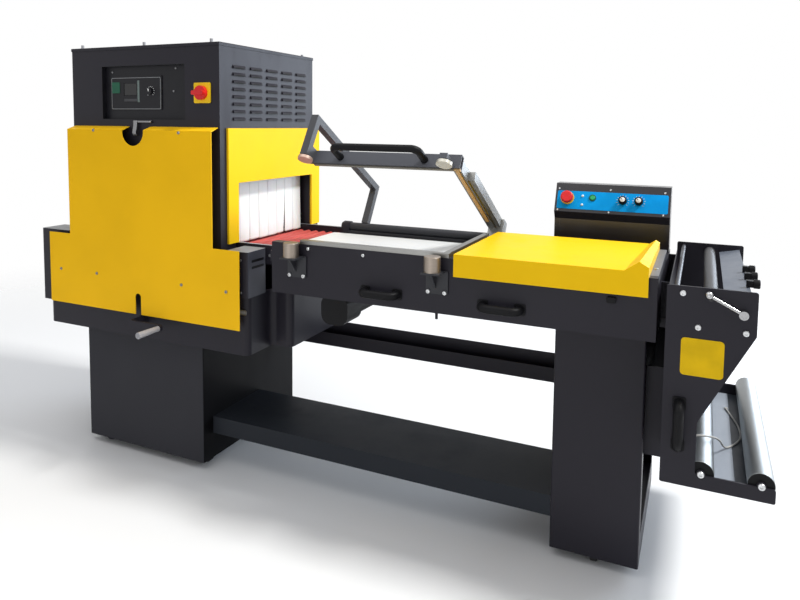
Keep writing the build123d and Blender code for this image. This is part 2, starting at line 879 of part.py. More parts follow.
def magnets():
    y = -magnet_stand_off
    pots = []
    brackets = []
    for x in magnet_xs:
        z0 = magnet_top - magnet_height
        pot = along_z(disc(x, y, magnet_radius), z0, magnet_top)
        pots.append(fillet(pot.edges().group_by(Axis.Z)[-1], sheet))
        half = magnet_radius + bracket_margin
        seat = rounded(rect(x - half, x + half, y - magnet_radius, 0), bend)
        foot = rounded(rect(x - half, x + magnet_radius + bracket_tail, z0 - bracket_drop, z0), bend)
        web = outline((y - magnet_radius / 2, z0 - plate), (-plate, z0 - plate), (-plate, z0 - bracket_web))
        bracket = along_z(seat, z0 - plate, z0) + along_y(foot, -plate, 0)
        brackets.append(bracket + along_x(web, x - plate / 2, x + plate / 2))
    return group(*pots), group(*brackets)


def arm_bearings():
    radius = tube_radius + bearing_wall
    face = rect(pivot_y - radius, pivot_y + radius, pivot_rail_top, pivot_z) + disc(pivot_y, pivot_z, radius)
    face -= disc(pivot_y, pivot_z, tube_radius + running)
    left_x = apron_left + tube_left_margin
    right_x = arm_right + bearing_width
    return group(
        along_x(face, left_x, left_x + bearing_width), along_x(face, right_x, right_x + bearing_width)
    )


def pull_handle(x, z, front, vertical):
    half = pull_length / 2
    seat = pull_seat
    path = ((-half, 0, 0), (-half, -pull_reach, 0), (half, -pull_reach, 0), (half, 0, 0))
    grip = bent_rod(path, pull_radius, pull_radius * 2)
    foot = along_y(rounded(rect(-seat, seat, -seat, seat), bend), -sheet, 0)
    feet = [Pos(end, 0, 0) * foot for end in (-half, half)]
    handle = grip + feet
    turn = Rot(0, 90, 0) if vertical else Rot(0, 0, 0)
    return Pos(x, front, z) * turn * handle


def pull_handles():
    apron_pulls = [pull_handle(apron_left + x + pull_length / 2, pull_z, 0, False) for x in pull_xs]
    side_pull = pull_handle(unwinder_left + unwinder_pull_x, unwinder_pull_z, unwinder_front, True)
    return group(*apron_pulls, side_pull)


def loading_tray():
    skin = rect(tray_front, tray_rear, tray_top - sheet, tray_top)
    skin += rect(tray_front, tray_front + sheet, tray_top - tray_lip, tray_top)
    skin += rect(tray_rear - sheet, tray_rear, table_top, tray_top)
    tray = along_x(skin, tray_left, tray_right)
    for x in (tray_left, tray_right - sheet):
        tray += block(x, x + sheet, tray_front, apron_flange, apron_top, tray_top)
        tray += block(x, x + sheet, apron_flange, tray_rear, table_top, tray_top)
    return tray + loft([ridge_section(tray_front, 1), ridge_section(tray_rear, ridge_taper)])


def ridge_section(y, share):
    crest = (tray_right - share * ridge_crest, tray_top + share * ridge_height)
    toe = (tray_right, tray_top + share * ridge_toe)
    section = outline((tray_right - share * ridge_width, tray_top), crest, toe, (tray_right, tray_top))
    return Pos(0, y, 0) * (Plane.XZ * section)


def console_profile(inset):
    z0 = table_top
    nose_y = console_front - console_nose
    points = (
        (console_front, z0), (console_front, z0 + console_chin), (nose_y, z0 + console_nose_height),
        (nose_y + console_lean, z0 + console_height), (console_rear, z0 + console_height), (console_rear, z0),
    )
    face = outline(*points)
    return offset(face, -inset, kind=Kind.INTERSECTION) if inset else face


def console_housing():
    x0, x1 = console_left, console_left + console_width
    shell = along_x(console_profile(0), x0, x1) - along_x(console_profile(sheet), x0 + sheet, x1 - sheet)
    way_in = rect(x0 + sheet, x1 - sheet, console_front + sheet, console_rear - sheet)
    shell -= along_z(way_in, table_top, table_top + sheet)
    for x, y, radius in panel_holes():
        shell -= panel_plane() * along_z(disc(x, y, radius), -4 * sheet, 0)
    return shell


def panel_plane():
    nose = (0, console_front - console_nose, table_top + console_nose_height)
    slope = Vector(0, console_lean, console_height - console_nose_height).normalized()
    return Plane(origin=nose, x_dir=(1, 0, 0), z_dir=Vector(1, 0, 0).cross(slope))


def panel_holes():
    holes = [(estop_x, estop_rise, estop_stem + running), (start_x, start_rise, start_radius + running)]
    return holes + [(x, knob_rise, axle_radius + running) for x in knob_xs]


def console_panel():
    x0 = console_left + overlay_margin
    x1 = x0 + console_width - 2 * overlay_margin
    face = rounded(rect(x0, x1, overlay_inset, overlay_inset + overlay_height), bend)
    for x, y, radius in panel_holes():
        face -= disc(x, y, radius)
    return panel_plane() * along_z(face, 0, overlay_thickness)


def estop_button():
    z0 = overlay_thickness + collar_height + estop_travel + gap
    stem = along_z(disc(estop_x, estop_rise, estop_stem), -sheet, z0)
    cap = along_z(disc(estop_x, estop_rise, estop_radius), z0, z0 + estop_cap)
    cap = fillet(cap.edges().group_by(Axis.Z)[-1], bend)
    return panel_plane() * (stem + cap)


def start_button():
    cap = along_z(disc(start_x, start_rise, start_radius), -2 * sheet, overlay_thickness + start_proud)
    return panel_plane() * chamfer(cap.edges().group_by(Axis.Z)[-1], sheet / 2)


def dial_knob(x):
    z0 = overlay_thickness + gap
    stem = along_z(disc(x, knob_rise, axle_radius), -sheet, z0)
    cap = along_z(disc(x, knob_rise, knob_radius), z0, z0 + knob_height)
    cap = chamfer(cap.edges().group_by(Axis.Z)[-1], knob_bevel)
    return panel_plane() * (stem + cap)


def unwinder_outline():
    x0 = unwinder_left
    points = (
        (x0, cradle_bottom), (x0 + plate_reach, cradle_bottom), (x0 + plate_reach, cradle_top),
        (x0 + plate_waist, cradle_top), (x0 + plate_waist, plate_waist_top),
        (x0 + plate_width, plate_shoulder), (x0 + plate_width, plate_top), (x0, plate_top),
    )
    return rounded(outline(*points), bend)


def unwinder_axles():
    return (
        (unwinder_left + cradle_first, cradle_z, axle_radius),
        (unwinder_left + cradle_first + cradle_pitch, cradle_z, axle_radius),
        (unwinder_left + film_roller_x, plate_top - film_roller_drop, axle_radius),
        (unwinder_left + lever_x, lever_z, axle_radius),
    )


def unwinder_side_plates():
    face = unwinder_outline()
    for x, z, radius in unwinder_axles()[:2]:
        face += disc(x, z, 2 * radius)
    for x, z, radius in unwinder_axles():
        face -= disc(x, z, radius + running)
    front = along_y(face, unwinder_front, unwinder_front + plate)
    rear = along_y(face, unwinder_rear - plate, unwinder_rear)
    return group(front, rear)


def unwinder_frame():
    y0, y1 = unwinder_front + plate, unwinder_rear - plate
    x0 = unwinder_left
    back = block(x0, x0 + sheet, y0, y1, cradle_top, plate_top - film_roller_drop)
    for y in (right_pedestal_front + gusset_inset, rear_plane - gusset_inset):
        low_gusset = rect(right_pedestal_right, x0, cradle_top - gusset_drop, apron_bottom - gusset_head)
        high_gusset = rect(apron_right, x0, apron_bottom + plate, table_top - 2 * plate)
        back += along_y(low_gusset, y, y + plate) + along_y(high_gusset, y, y + plate)
    tie_x = x0 + 3 * tie_radius + sheet
    ties = along_y(disc(tie_x, plate_top - 2 * tie_radius, tie_radius), y0, y1)
    guide_x = x0 + plate_width - guide_width - 2 * tie_radius
    guide = outline((guide_x, plate_top - 4 * tie_radius), (guide_x, plate_top - 4 * tie_radius - sheet),
                    (guide_x + guide_width, plate_top - 2 * tie_radius - sheet),
                    (guide_x + guide_width, plate_top - 2 * tie_radius))
    cradle_end = x0 + plate_reach - cradle_plate_margin
    back += block(x0, x0 + sheet, y0, y1, cradle_bottom, cradle_top)
    back += block(x0, cradle_end, y0, y1, cradle_bottom, cradle_bottom + sheet)
    eyelet = disc(eyelet_y, cradle_z + eyelet_rise, eyelet_radius)
    back += along_x(eyelet, x0 + sheet, x0 + sheet + eyelet_length)
    return group(back, ties, along_y(guide, y0, y1))


def film_perforators():
    z = plate_top - 2 * tie_radius
    x = unwinder_left + plate_width - 2 * tie_radius
    wheels = []
    for y in perforator_ys:
        half = perforator_foot / 2
        foot = block(x - half, x + half, y - half, y + half, z, z + perforator_foot)
        knob = along_x(disc(y, z + half, perforator_radius), x + half, x + half + perforator_length)
        knob = fillet(knob.edges().sort_by(Axis.X)[-1:], sheet)
        wheels.append(foot + knob)
    return group(*wheels)


# The cord leaves its eyelet, passes over the inner roller and lies in a bend on the cradle's plate.
def cord_route():
    x0 = unwinder_left
    eyelet_x = x0 + sheet + eyelet_length
    eyelet_z = cradle_z + eyelet_rise
    lying = cradle_bottom + sheet + gap + cord_radius
    lead = [(eyelet_x, eyelet_y, eyelet_z), (eyelet_x + cord_lead, eyelet_y, eyelet_z)]
    crossing = [(x0 + x, y, cradle_z + rise) for x, y, rise in cord_crossing]
    return lead + crossing + [(x0 + x, y, lying) for x, y in cord_lay]


def brake_cord():
    x, y, z = cord_route()[-1]
    knot = Pos(x, y, z - cord_radius + knot_radius) * Sphere(knot_radius)
    return bent_rod(cord_route(), cord_radius, cord_bend) + knot


def unwinder_roller(x, z, radius):
    y0, y1 = unwinder_front + plate, unwinder_rear - plate
    drum = along_y(disc(x, z, radius), y0 + gap, y1 - gap)
    drum = fillet(drum.edges().filter_by(GeomType.CIRCLE), sheet)
    return drum + along_y(disc(x, z, axle_radius), unwinder_front, unwinder_rear)


def clamp_lever():
    hub_y = unwinder_front - gap
    hub = along_y(disc(0, 0, 2 * axle_radius), hub_y - lever_hub, hub_y)
    pin = along_y(disc(0, 0, axle_radius), hub_y, unwinder_front + plate)
    half = disc(-lever_length, 0, lever_ball)
    half += rect(-lever_length, 0, -lever_rod_radius, lever_rod_radius)
    half &= rect(-lever_length - lever_ball, 0, 0, lever_ball)
    rod = Pos(0, hub_y - lever_root, 0) * revolve(half, axis=Axis.X)
    turn = Pos(unwinder_left + lever_x, 0, lever_z) * Rot(0, lever_angle, 0)
    return turn * (hub + pin + rod)


# The arm is drawn closed: u is the distance ahead of the pivot and w the height above it.
def arm_block(x0, x1, u0, u1, w0, w1):
    return block(x0, x1, pivot_y - u1, pivot_y - u0, pivot_z + w0, pivot_z + w1)


def raised(shape):
    hinge = Pos(0, pivot_y, pivot_z)
    return hinge * Rot(-raise_angle, 0, 0) * hinge.inverse() * shape


def arm_portal():
    x0, x1 = arm_left - bar_width, arm_left
    tube_x0 = apron_left
    tube_x1 = arm_right + 2 * bearing_width + tube_left_margin
    ring = disc(pivot_y, pivot_z, tube_radius) - disc(pivot_y, pivot_z, tube_radius - bar_wall)
    tube = along_x(ring, tube_x0, tube_x1)
    half = portal_bar / 2
    loop = rect(-half, portal_reach, tube_radius - bar_lead, portal_height)
    loop -= rect(half, portal_reach - portal_bar, 0, portal_height - portal_bar)
    loop -= rect(portal_reach - portal_bar, portal_reach, 0, bar_w0 + bend)
    side = Pos(x0, pivot_y, pivot_z) * extrude(
        Plane(origin=(0, 0, 0), x_dir=(0, -1, 0), z_dir=(-1, 0, 0)) * loop, amount=-bar_width
    )
    ear = arm_block(x0, x1, bar_u0, portal_reach, bar_w0 + bend, bar_w0 + bar_height)
    return raised(tube + side + ear)


def arm_front_bar():
    bar = arm_block(arm_left, arm_right, bar_u0, bar_u1, bar_w0, bar_w0 + bar_height)
    hollow = arm_block(arm_left, arm_right, bar_u0 + bar_wall, bar_u1 - bar_wall, bar_w0 + bar_wall,
                       bar_w0 + bar_height - bar_wall)
    ear_x = magnet_xs[1]
    ear = arm_block(ear_x - magnet_radius / 2, ear_x + magnet_radius / 2, bar_u1, portal_reach,
                    bar_w0 + bend, bar_w0 + bar_height / 2)
    return raised(bar - hollow + ear)


def arm_side_bar():
    x0, x1 = arm_right - bar_width, arm_right
    hub_x1 = arm_right + bearing_width - gap
    bar = arm_block(x0, x1, tube_radius, bar_u0, bar_w0, bar_w0 + side_bar_height)
    link = arm_block(x1, x1 + link_width, 0, link_reach, bar_w0 + bend, bar_w0 + bend + link_height)
    hub = arm_block(x0, hub_x1, -tube_radius - bearing_wall, tube_radius + bearing_wall,
                    -tube_radius, bar_w0 + side_bar_height)
    hub -= along_x(disc(pivot_y, pivot_z, tube_radius + running), x0, hub_x1)
    return raised(bar + link + hub)


def seal_blades():
    middle = (bar_u0 + bar_u1) / 2
    half = blade_width / 2
    front = arm_block(arm_left, arm_right, middle - half, middle + half, bar_w0 - blade_height, bar_w0)
    x = arm_right - bar_width / 2
    side = arm_block(x - half, x + half, blade_stop, middle - half, bar_w0 - blade_height, bar_w0)
    return raised(front + side)


def armature_discs():
    discs = []
    u = pivot_y + magnet_stand_off
    w0 = magnet_top + gap - pivot_z
    for x in magnet_xs:
        pad = along_z(disc(x, pivot_y - u, disc_radius), pivot_z + w0, pivot_z + w0 + disc_thickness)
        stem_z = pivot_z + w0 + disc_thickness
        stem = along_z(disc(x, pivot_y - u, axle_radius), stem_z, pivot_z + bar_w0 + bend)
        discs.append(raised(pad + stem))
    return group(*discs)


def arm_handle():
    x0 = arm_left + handle_left
    x1 = x0 + handle_length
    w = bar_w0 + bar_height / 2
    u0, u1 = bar_u1, bar_u1 + handle_reach
    points = [(x, pivot_y - u, pivot_z + w) for x, u in ((x0, u0), (x0, u1), (x1, u1), (x1, u0))]
    return raised(bent_rod(points, handle_bar_radius, handle_bar_radius * 2))


nodes["left_pedestal"] = left_pedestal()
nodes["right_pedestal"] = right_pedestal()
nodes["lower_shelf"] = lower_shelf()
nodes["cable_duct"] = cable_duct()
for name, place in caster_places().items():
    nodes["caster_fork_" + name], nodes["caster_wheel_" + name] = caster(place)
nodes["tunnel_base"] = tunnel_base()
nodes["tunnel_chamber"] = tunnel_chamber()
nodes["control_cabinet"] = control_cabinet()
nodes["cabinet_lid"] = cabinet_lid()
nodes["control_panel"] = control_panel()
nodes["front_cover"] = front_cover()
nodes["tunnel_hoods"] = tunnel_hoods()
nodes["tunnel_curtains"] = tunnel_curtains()
nodes["tunnel_rails"] = tunnel_rails()
nodes["tunnel_rollers"] = tunnel_rollers()
nodes["fan_motor"] = fan_motor()
nodes["fan_impeller"] = fan_impeller()
nodes["heater_elements"] = heater_elements()
nodes["height_crank"] = crank()
nodes["switch_collars"] = switch_collars()
nodes["main_switch_knob"] = main_switch_knob()
nodes["front_apron"] = front_apron()
nodes["table_frame"] = table_frame()
nodes["conveyor_belt"] = conveyor_belt()
nodes["belt_drive_roller"] = belt_roller(belt_left + belt_end)
nodes["belt_idler_roller"] = belt_roller(belt_right - belt_end)
nodes["belt_gearmotor"] = belt_gearmotor()
nodes["lower_jaws"] = lower_jaws()
nodes["hold_down_magnets"], nodes["magnet_brackets"] = magnets()
nodes["arm_bearings"] = arm_bearings()
nodes["pull_handles"] = pull_handles()
nodes["loading_tray"] = loading_tray()
nodes["console_housing"] = console_housing()
nodes["console_panel"] = console_panel()
nodes["estop_button"] = estop_button()
nodes["start_button"] = start_button()
nodes["seal_time_knob"] = dial_knob(knob_xs[0])
nodes["tunnel_speed_knob"] = dial_knob(knob_xs[1])
nodes["unwinder_side_plates"] = unwinder_side_plates()
nodes["unwinder_frame"] = unwinder_frame()
cradle_inner, cradle_outer, film_axle, lever_axle = unwinder_axles()
nodes["cradle_roller_inner"] = unwinder_roller(cradle_inner[0], cradle_inner[1], cradle_radius)
nodes["cradle_roller_outer"] = unwinder_roller(cradle_outer[0], cradle_outer[1], cradle_radius)
nodes["film_roller"] = unwinder_roller(film_axle[0], film_axle[1], film_roller_radius)
nodes["clamp_lever"] = clamp_lever()
nodes["film_perforators"] = film_perforators()
nodes["brake_cord"] = brake_cord()
nodes["arm_portal"] = arm_portal()
nodes["arm_front_bar"] = arm_front_bar()
nodes["arm_side_bar"] = arm_side_bar()
nodes["arm_handle"] = arm_handle()
nodes["seal_blades"] = seal_blades()
nodes["armature_discs"] = armature_discs()

# The origin is on the floor under the middle of the machine's box
whole = Compound(children=[Compound(node.solids()) for node in nodes.values()]).bounding_box()
centre = Pos(-whole.center().X, -whole.center().Y, 0)
os.makedirs("parts", exist_ok=True)
for name, node in nodes.items():
    export_step(Compound([centre * solid for solid in node.solids()]), "parts/" + name + ".step")
print(len(nodes), "parts, box", whole.size, "centre", whole.center())
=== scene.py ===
import bmesh
import bpy
import numpy as np
from mathutils import Matrix, Vector


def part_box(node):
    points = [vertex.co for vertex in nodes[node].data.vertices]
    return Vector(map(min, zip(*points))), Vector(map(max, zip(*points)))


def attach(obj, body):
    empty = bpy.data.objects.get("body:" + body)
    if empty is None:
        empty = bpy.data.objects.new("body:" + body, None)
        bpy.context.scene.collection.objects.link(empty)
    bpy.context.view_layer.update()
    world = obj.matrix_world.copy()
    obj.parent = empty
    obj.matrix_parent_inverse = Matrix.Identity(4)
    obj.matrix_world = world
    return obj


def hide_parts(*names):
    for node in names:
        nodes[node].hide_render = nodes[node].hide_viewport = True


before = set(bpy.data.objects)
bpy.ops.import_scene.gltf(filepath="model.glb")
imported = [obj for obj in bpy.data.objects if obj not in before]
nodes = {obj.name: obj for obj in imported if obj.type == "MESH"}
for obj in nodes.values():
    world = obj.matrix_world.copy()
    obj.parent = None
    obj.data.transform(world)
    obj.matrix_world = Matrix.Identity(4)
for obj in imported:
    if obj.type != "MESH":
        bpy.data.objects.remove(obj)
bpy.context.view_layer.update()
mm = 0.001
corner = (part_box("tunnel_chamber")[0].x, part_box("front_apron")[0].y)  # chamber's left side, apron's front
toRight, upright, front = (1, 0, 0), (0, 0, 1), (0, -1, 0)
print("frame loaded:", len(nodes), "nodes")


# a place given in millimetres from that corner and the floor, as metres in the frame
def at(x, y, z):
    return (corner[0] + x * mm, corner[1] + y * mm, z * mm)


def xAt(x):
    return at(x, 0, 0)[0]


def yAt(y):
    return at(0, y, 0)[1]


# shader maths: a socket that takes part in plain Python expressions
class Sock:
    def __init__(self, tree, out):
        self.tree = tree
        self.out = out

    # any node: settings first, then values or links by socket name or number
    def node(self, kind, settings=None, sockets=None, out=0):
        made = self.tree.nodes.new("ShaderNode" + kind)
        for key, value in (settings or {}).items():
            setattr(made, key, value)
        for key, value in (sockets or {}).items():
            if isinstance(value, Sock):
                self.tree.links.new(value.out, made.inputs[key])
            else:
                made.inputs[key].default_value = value
        return Sock(self.tree, made.outputs[out])

    def maths(self, operation, a, b=0.0):
        return self.node("Math", {"operation": operation}, {0: a, 1: b})

    def __add__(self, other):
        return self.maths("ADD", self, other)

    def __radd__(self, other):
        return self.maths("ADD", other, self)

    def __sub__(self, other):
        return self.maths("SUBTRACT", self, other)

    def __rsub__(self, other):
        return self.maths("SUBTRACT", other, self)

    def __mul__(self, other):
        return self.maths("MULTIPLY", self, other)

    def __rmul__(self, other):
        return self.maths("MULTIPLY", other, self)

    def __truediv__(self, other):
        return self.maths("DIVIDE", self, other)

    def __rtruediv__(self, other):
        return self.maths("DIVIDE", other, self)

    def __gt__(self, other):
        return self.maths("GREATER_THAN", self, other)

    def __lt__(self, other):
        return self.maths("LESS_THAN", self, other)

    def clip(self):
        return self.node("Clamp", None, {0: self, 1: 0.0, 2: 1.0})

    # 0 up to low, 1 from high on, and a smooth S between
    def step(self, low, high):
        span = {0: self, 1: low, 2: high, 3: 0.0, 4: 1.0}
        return self.node("MapRange", {"interpolation_type": "SMOOTHSTEP"}, span)

    def axis(self, letter):
        return self.node("SeparateXYZ", None, {0: self}, "XYZ".index(letter))

    def stretched(self, x, y, z):
        return self.node("Mapping", None, {"Vector": self, "Scale": (x, y, z)})

    def noise(self, scale, detail=2.0, rough=0.5):
        sockets = {"Vector": self, "Scale": scale, "Detail": detail, "Roughness": rough}
        return self.node("TexNoise", None, sockets)

    def spots(self, scale):
        return self.node("TexVoronoi", None, {"Vector": self, "Scale": scale})


# a socket that a node gives with no input, such as coordinates
def source(tree, kind, output):
    return Sock(tree, tree.nodes.new("ShaderNode" + kind).outputs[output])


def mixed(mask, low, high):
    pair = {0: mask}
    for key, value in ((6, low), (7, high)):
        pair[key] = value if isinstance(value, Sock) else (*value, 1)
    return mask.node("Mix", {"data_type": "RGBA"}, pair, 2)


def bumped(height, strength, distance):
    return height.node("Bump", None, {"Strength": strength, "Distance": distance, "Height": height})


# one colour in two shades, by a factor for each
def shades(colour, deep, light):
    return tuple(deep * c for c in colour), tuple(min(1.0, light * c) for c in colour)


# a material with its coordinates and a way to set the shader's sockets
def finishOf(name):
    material = bpy.data.materials.new(name)
    material.use_nodes = True
    tree = material.node_tree
    shader = tree.nodes["Principled BSDF"]
    coords = source(tree, "TexCoord", "Object")
    facing = source(tree, "NewGeometry", "Normal")

    def wear(**sockets):
        for key, value in sockets.items():
            socket = shader.inputs[key.replace("_", " ")]
            if isinstance(value, Sock):
                tree.links.new(value.out, socket)
            elif isinstance(value, tuple):
                socket.default_value = (*value, 1)
            else:
                socket.default_value = value
        return material

    return coords, facing, wear


# 1 where a face looks along an axis, 0 where it turns away from it
def faces(facing, letter):
    return facing.axis(letter).step(0.6, 0.9)


paints = {
    "anthracite": {
        "colour": (0.0165, 0.0152, 0.0215), "dust": (0.026, 0.026, 0.032), "rough": 0.38, "gloss": 0.18},
    "consoleGloss": {
        "colour": (0.018, 0.017, 0.022), "dust": (0.03, 0.03, 0.034), "rough": 0.20, "gloss": 0.50},
    "signalYellow": {
        "colour": (0.92, 0.56, 0.005), "dust": (0.92, 0.60, 0.02), "rough": 0.42, "gloss": 0.07},
    "coverYellow": {
        "colour": (0.89, 0.505, 0.009), "dust": (0.89, 0.55, 0.02), "rough": 0.42, "gloss": 0.07},
    "standGrey": {
        "colour": (0.036, 0.036, 0.042), "dust": (0.04, 0.042, 0.05), "rough": 0.42, "gloss": 0.06},
    "shelfGrey": {
        "colour": (0.024, 0.027, 0.033), "dust": (0.03, 0.034, 0.041), "rough": 0.40, "gloss": 0.07},
    "armGrey": {
        "colour": (0.055, 0.056, 0.062), "dust": (0.09, 0.092, 0.10), "rough": 0.42, "gloss": 0.22},
    "frontBarGrey": {
        "colour": (0.080, 0.083, 0.097), "dust": (0.13, 0.135, 0.15), "rough": 0.42, "gloss": 0.22},
    "barGrey": {
        "colour": (0.028, 0.029, 0.034), "dust": (0.08, 0.08, 0.085), "rough": 0.40, "gloss": 0.25},
}

# powder coat: fine orange peel, slow drift in tone, some dust on what faces up, hand marks in the gloss
powder = {
    "drift": 3.2, "deep": 0.955, "light": 1.035, "dustGrain": 26.0, "dustShare": 0.3, "smear": 9.0,
    "smearRough": 0.10, "dustRough": 0.25, "finePeel": 620.0, "widePeel": 190.0, "bump": (0.10, 0.0006),
}


def powderTone(look, coords, facing):
    drift = coords.noise(powder["drift"], 4.0).step(0.3, 0.7)
    specks = coords.noise(powder["dustGrain"], 4.0).step(0.35, 0.8)
    dusty = (facing.axis("Z").step(0.35, 1.0) * specks * powder["dustShare"]).clip()
    clean = mixed(drift, *shades(look["colour"], powder["deep"], powder["light"]))
    return mixed(dusty, clean, look["dust"]), dusty


def powderGloss(look, coords, dusty):
    smears = coords.stretched(1.0, 1.0, 0.35).noise(powder["smear"], 5.0, 0.62).step(0.42, 0.78)
    peel = coords.noise(powder["finePeel"], 1.0) * 0.6 + coords.noise(powder["widePeel"], 2.0) * 0.4
    rough = look["rough"] + smears * powder["smearRough"] + dusty * powder["dustRough"]
    return {
        "Roughness": rough.clip(), "Normal": bumped(peel, *powder["bump"]),
        "Specular_IOR_Level": look["gloss"],
    }


# a powder coat, with patches in another tone: each is a mask of place and facing with its colour
def powderCoat(name, paint, *patches):
    look = paints[paint]
    coords, facing, wear = finishOf(name)
    tone, dusty = powderTone(look, coords, facing)
    for maskOf, colour in patches:
        tone = mixed(maskOf(coords, facing), tone, colour)
    return wear(Base_Color=tone, **powderGloss(look, coords, dusty))


# painted shade: the louvres' openings are painted black on the cabinet's sheet
# lens-shaped openings under the louvres' hoods, on the bulges alone:
# their height falls as 1 - (y / half length) squared
louvre = {
    "bottom": 1216, "pitch": 24.5, "front": 113.5, "step": 94, "half": 31.5, "slot": 4.5,
    "walls": (-1.5, 657.5),
}


def louvreSlotShade(coords, facing):
    leftWall, rightWall = louvre["walls"]
    origin = at(leftWall, louvre["front"], louvre["bottom"])
    along = coords.maths("MODULO", coords.axis("Y") - origin[1], louvre["step"] * mm)
    rise = coords.maths("MODULO", coords.axis("Z") - origin[2], louvre["pitch"] * mm)
    off = along / (louvre["half"] * mm) - 1
    lens = louvre["slot"] * mm * (1 - off * off)
    outside = (coords.axis("X") < origin[0]) + (coords.axis("X") > xAt(rightWall))
    return (rise < lens) * outside.clip()


# masks that tell one node's places apart, by heights, a place along the machine and one in depth
patch = {"lidTop": 1466.8 * mm, "ledgeTop": 846 * mm, "boxTop": 798 * mm, "boxEndSheen": 774, "crankArm": -15.5}


def lidScrews(coords, facing):
    return coords.axis("Z") > patch["lidTop"]


# painted sheen: the table's ledge tops are lightened, partly as a paler bare plate and partly as painted
# reflection
def ledgeSheen(coords, facing):
    return (coords.axis("Z") > patch["ledgeTop"]) * faces(facing, "Z")


# painted highlight: the rail box's tops are lightened where light falls on them
def boxTopHighlight(coords, facing):
    return (coords.axis("Z") > patch["boxTop"]) * faces(facing, "Z")


# painted sheen: the rail box's end that looks right is lightened as the light on it
def boxEndSheen(coords, facing):
    return (coords.axis("X") > xAt(patch["boxEndSheen"])) * faces(facing, "X")


# painted shade: the side of the left stand that looks to the shelf, painted near-black as the table's shade
# on it
def innerSideShade(coords, facing):
    return faces(facing, "X")


# the crank's grip, ahead of its arm
def crankGrip(coords, facing):
    return coords.axis("Y") < yAt(patch["crankArm"])


coats = {
    "cabinetCoat": ("anthracite", (louvreSlotShade, (0.001, 0.001, 0.001))),
    "lidCoat": ("anthracite", (lidScrews, (0.36, 0.36, 0.38))),
    "standCoat": ("standGrey", (innerSideShade, (0.005, 0.005, 0.006))),
    "tableCoat": ("anthracite", (ledgeSheen, (0.16, 0.162, 0.175))),
    "railCoat": ("anthracite", (boxEndSheen, (0.05, 0.052, 0.066)), (boxTopHighlight, (0.26, 0.265, 0.28))),
    "crankMetal": ("anthracite", (crankGrip, (0.30, 0.30, 0.32))),
}

# the unwinder's back panel in anthracite, guide sheet and cradle floor in greys, told apart by place; the
# guide sheet's grey is painted sheen, the cradle floor is a paler plate lightened by painted sheen, and its
# dark band by the outer roller is that roller's painted shadow
cradleFloor = {
    "top": 366.5 * mm, "sheet": (0.26, 0.29, 0.34), "scuffed": (0.33, 0.36, 0.41),
    "rollerShadow": (0.05, 0.058, 0.072), "shadowFrom": 2172,
}
guideSheen = {"from": 2120, "bottom": 770 * mm, "tone": (0.12, 0.135, 0.165)}


def unwinderCoat():
    look = paints["anthracite"]
    coords, facing, wear = finishOf("unwinderCoat")
    tone, dusty = powderTone(look, coords, facing)
    # the cradle floor: a paler bare plate with rubbed streaks, lightened further as painted sheen
    rubbed = coords.stretched(1.0, 0.2, 1.0).noise(40.0, 4.0, 0.6)
    bare = mixed(rubbed, cradleFloor["sheet"], cradleFloor["scuffed"])
    # painted shadow: the outer roller's shadow, a dark band on the cradle floor from here on
    rollerShadow = coords.axis("X") > xAt(cradleFloor["shadowFrom"])
    floorTone = mixed(rollerShadow, bare, cradleFloor["rollerShadow"])
    lying = (coords.axis("Z") < cradleFloor["top"]) * faces(facing, "Z")
    # painted sheen: the guide sheet is lightened as the light on its up-sloped face
    guideSheenMask = (coords.axis("Z") > guideSheen["bottom"]) * (coords.axis("X") > xAt(guideSheen["from"]))
    tone = mixed(guideSheenMask, mixed(lying, tone, floorTone), guideSheen["tone"])
    return wear(Base_Color=tone, **powderGloss(look, coords, dusty))


# the arm's portal: grey bars on a dark torque tube, told apart by the distance from the pivot's axis
portalLook = {"pivot": (447, 839), "tube": 16.5 * mm}


def portalCoat():
    coords, facing, wear = finishOf("portalCoat")
    pivot = at(0, *portalLook["pivot"])
    away = coords.node("VectorMath", {"operation": "SUBTRACT"}, {0: coords, 1: pivot})
    away = away.node("VectorMath", {"operation": "MULTIPLY"}, {0: away, 1: (0, 1, 1)})
    distance = away.node("VectorMath", {"operation": "LENGTH"}, {0: away}, 1)
    bars, dusty = powderTone(paints["armGrey"], coords, facing)
    tube = powderTone(paints["barGrey"], coords, facing)[0]
    tone = mixed(distance > portalLook["tube"], tube, bars)
    return wear(Base_Color=tone, **powderGloss(paints["armGrey"], coords, dusty))


metals = {
    "rollerSkin": {"colour": (0.30, 0.315, 0.32), "rough": 0.42, "grain": (700, 12, 700)},
    "barAlloy": {"colour": (0.27, 0.27, 0.26), "rough": 0.40, "grain": (300, 40, 300)},
    "dullScrew": {"colour": (0.26, 0.26, 0.27), "rough": 0.42, "grain": (300, 300, 300)},
    "magnetSteel": {"colour": (0.31, 0.265, 0.225), "rough": 0.44, "grain": (60, 60, 1200)},
    "zincPlate": {"colour": (0.60, 0.61, 0.62), "rough": 0.34, "grain": (300, 300, 300)},
    "polishedChrome": {"colour": (0.42, 0.42, 0.43), "rough": 0.20, "grain": (200, 200, 200)},
    "heaterSteel": {"colour": (0.30, 0.25, 0.21), "rough": 0.48, "grain": (300, 300, 300)},
}

# worked metal: fine lines along one axis and a cloudy change in gloss
metal = {
    "cloud": 18.0, "deep": 0.86, "smoother": 0.06, "cloudRough": 0.08, "lineRough": 0.06,
    "bump": (0.06, 0.0004),
}


def metalTone(look, coords):
    lines = coords.stretched(*look["grain"]).noise(1.0, 3.0, 0.6)
    cloud = coords.noise(metal["cloud"], 4.0)
    rough = look["rough"] - metal["smoother"] + cloud * metal["cloudRough"] + lines * metal["lineRough"]
    tone = mixed(lines.step(0.25, 0.75), *shades(look["colour"], metal["deep"], 1.0))
    return tone, rough.clip(), bumped(lines, *metal["bump"])


def workedMetal(name):
    coords, facing, wear = finishOf(name)
    tone, rough, normal = metalTone(metals[name], coords)
    return wear(Base_Color=tone, Metallic=1.0, Roughness=rough, Normal=normal)


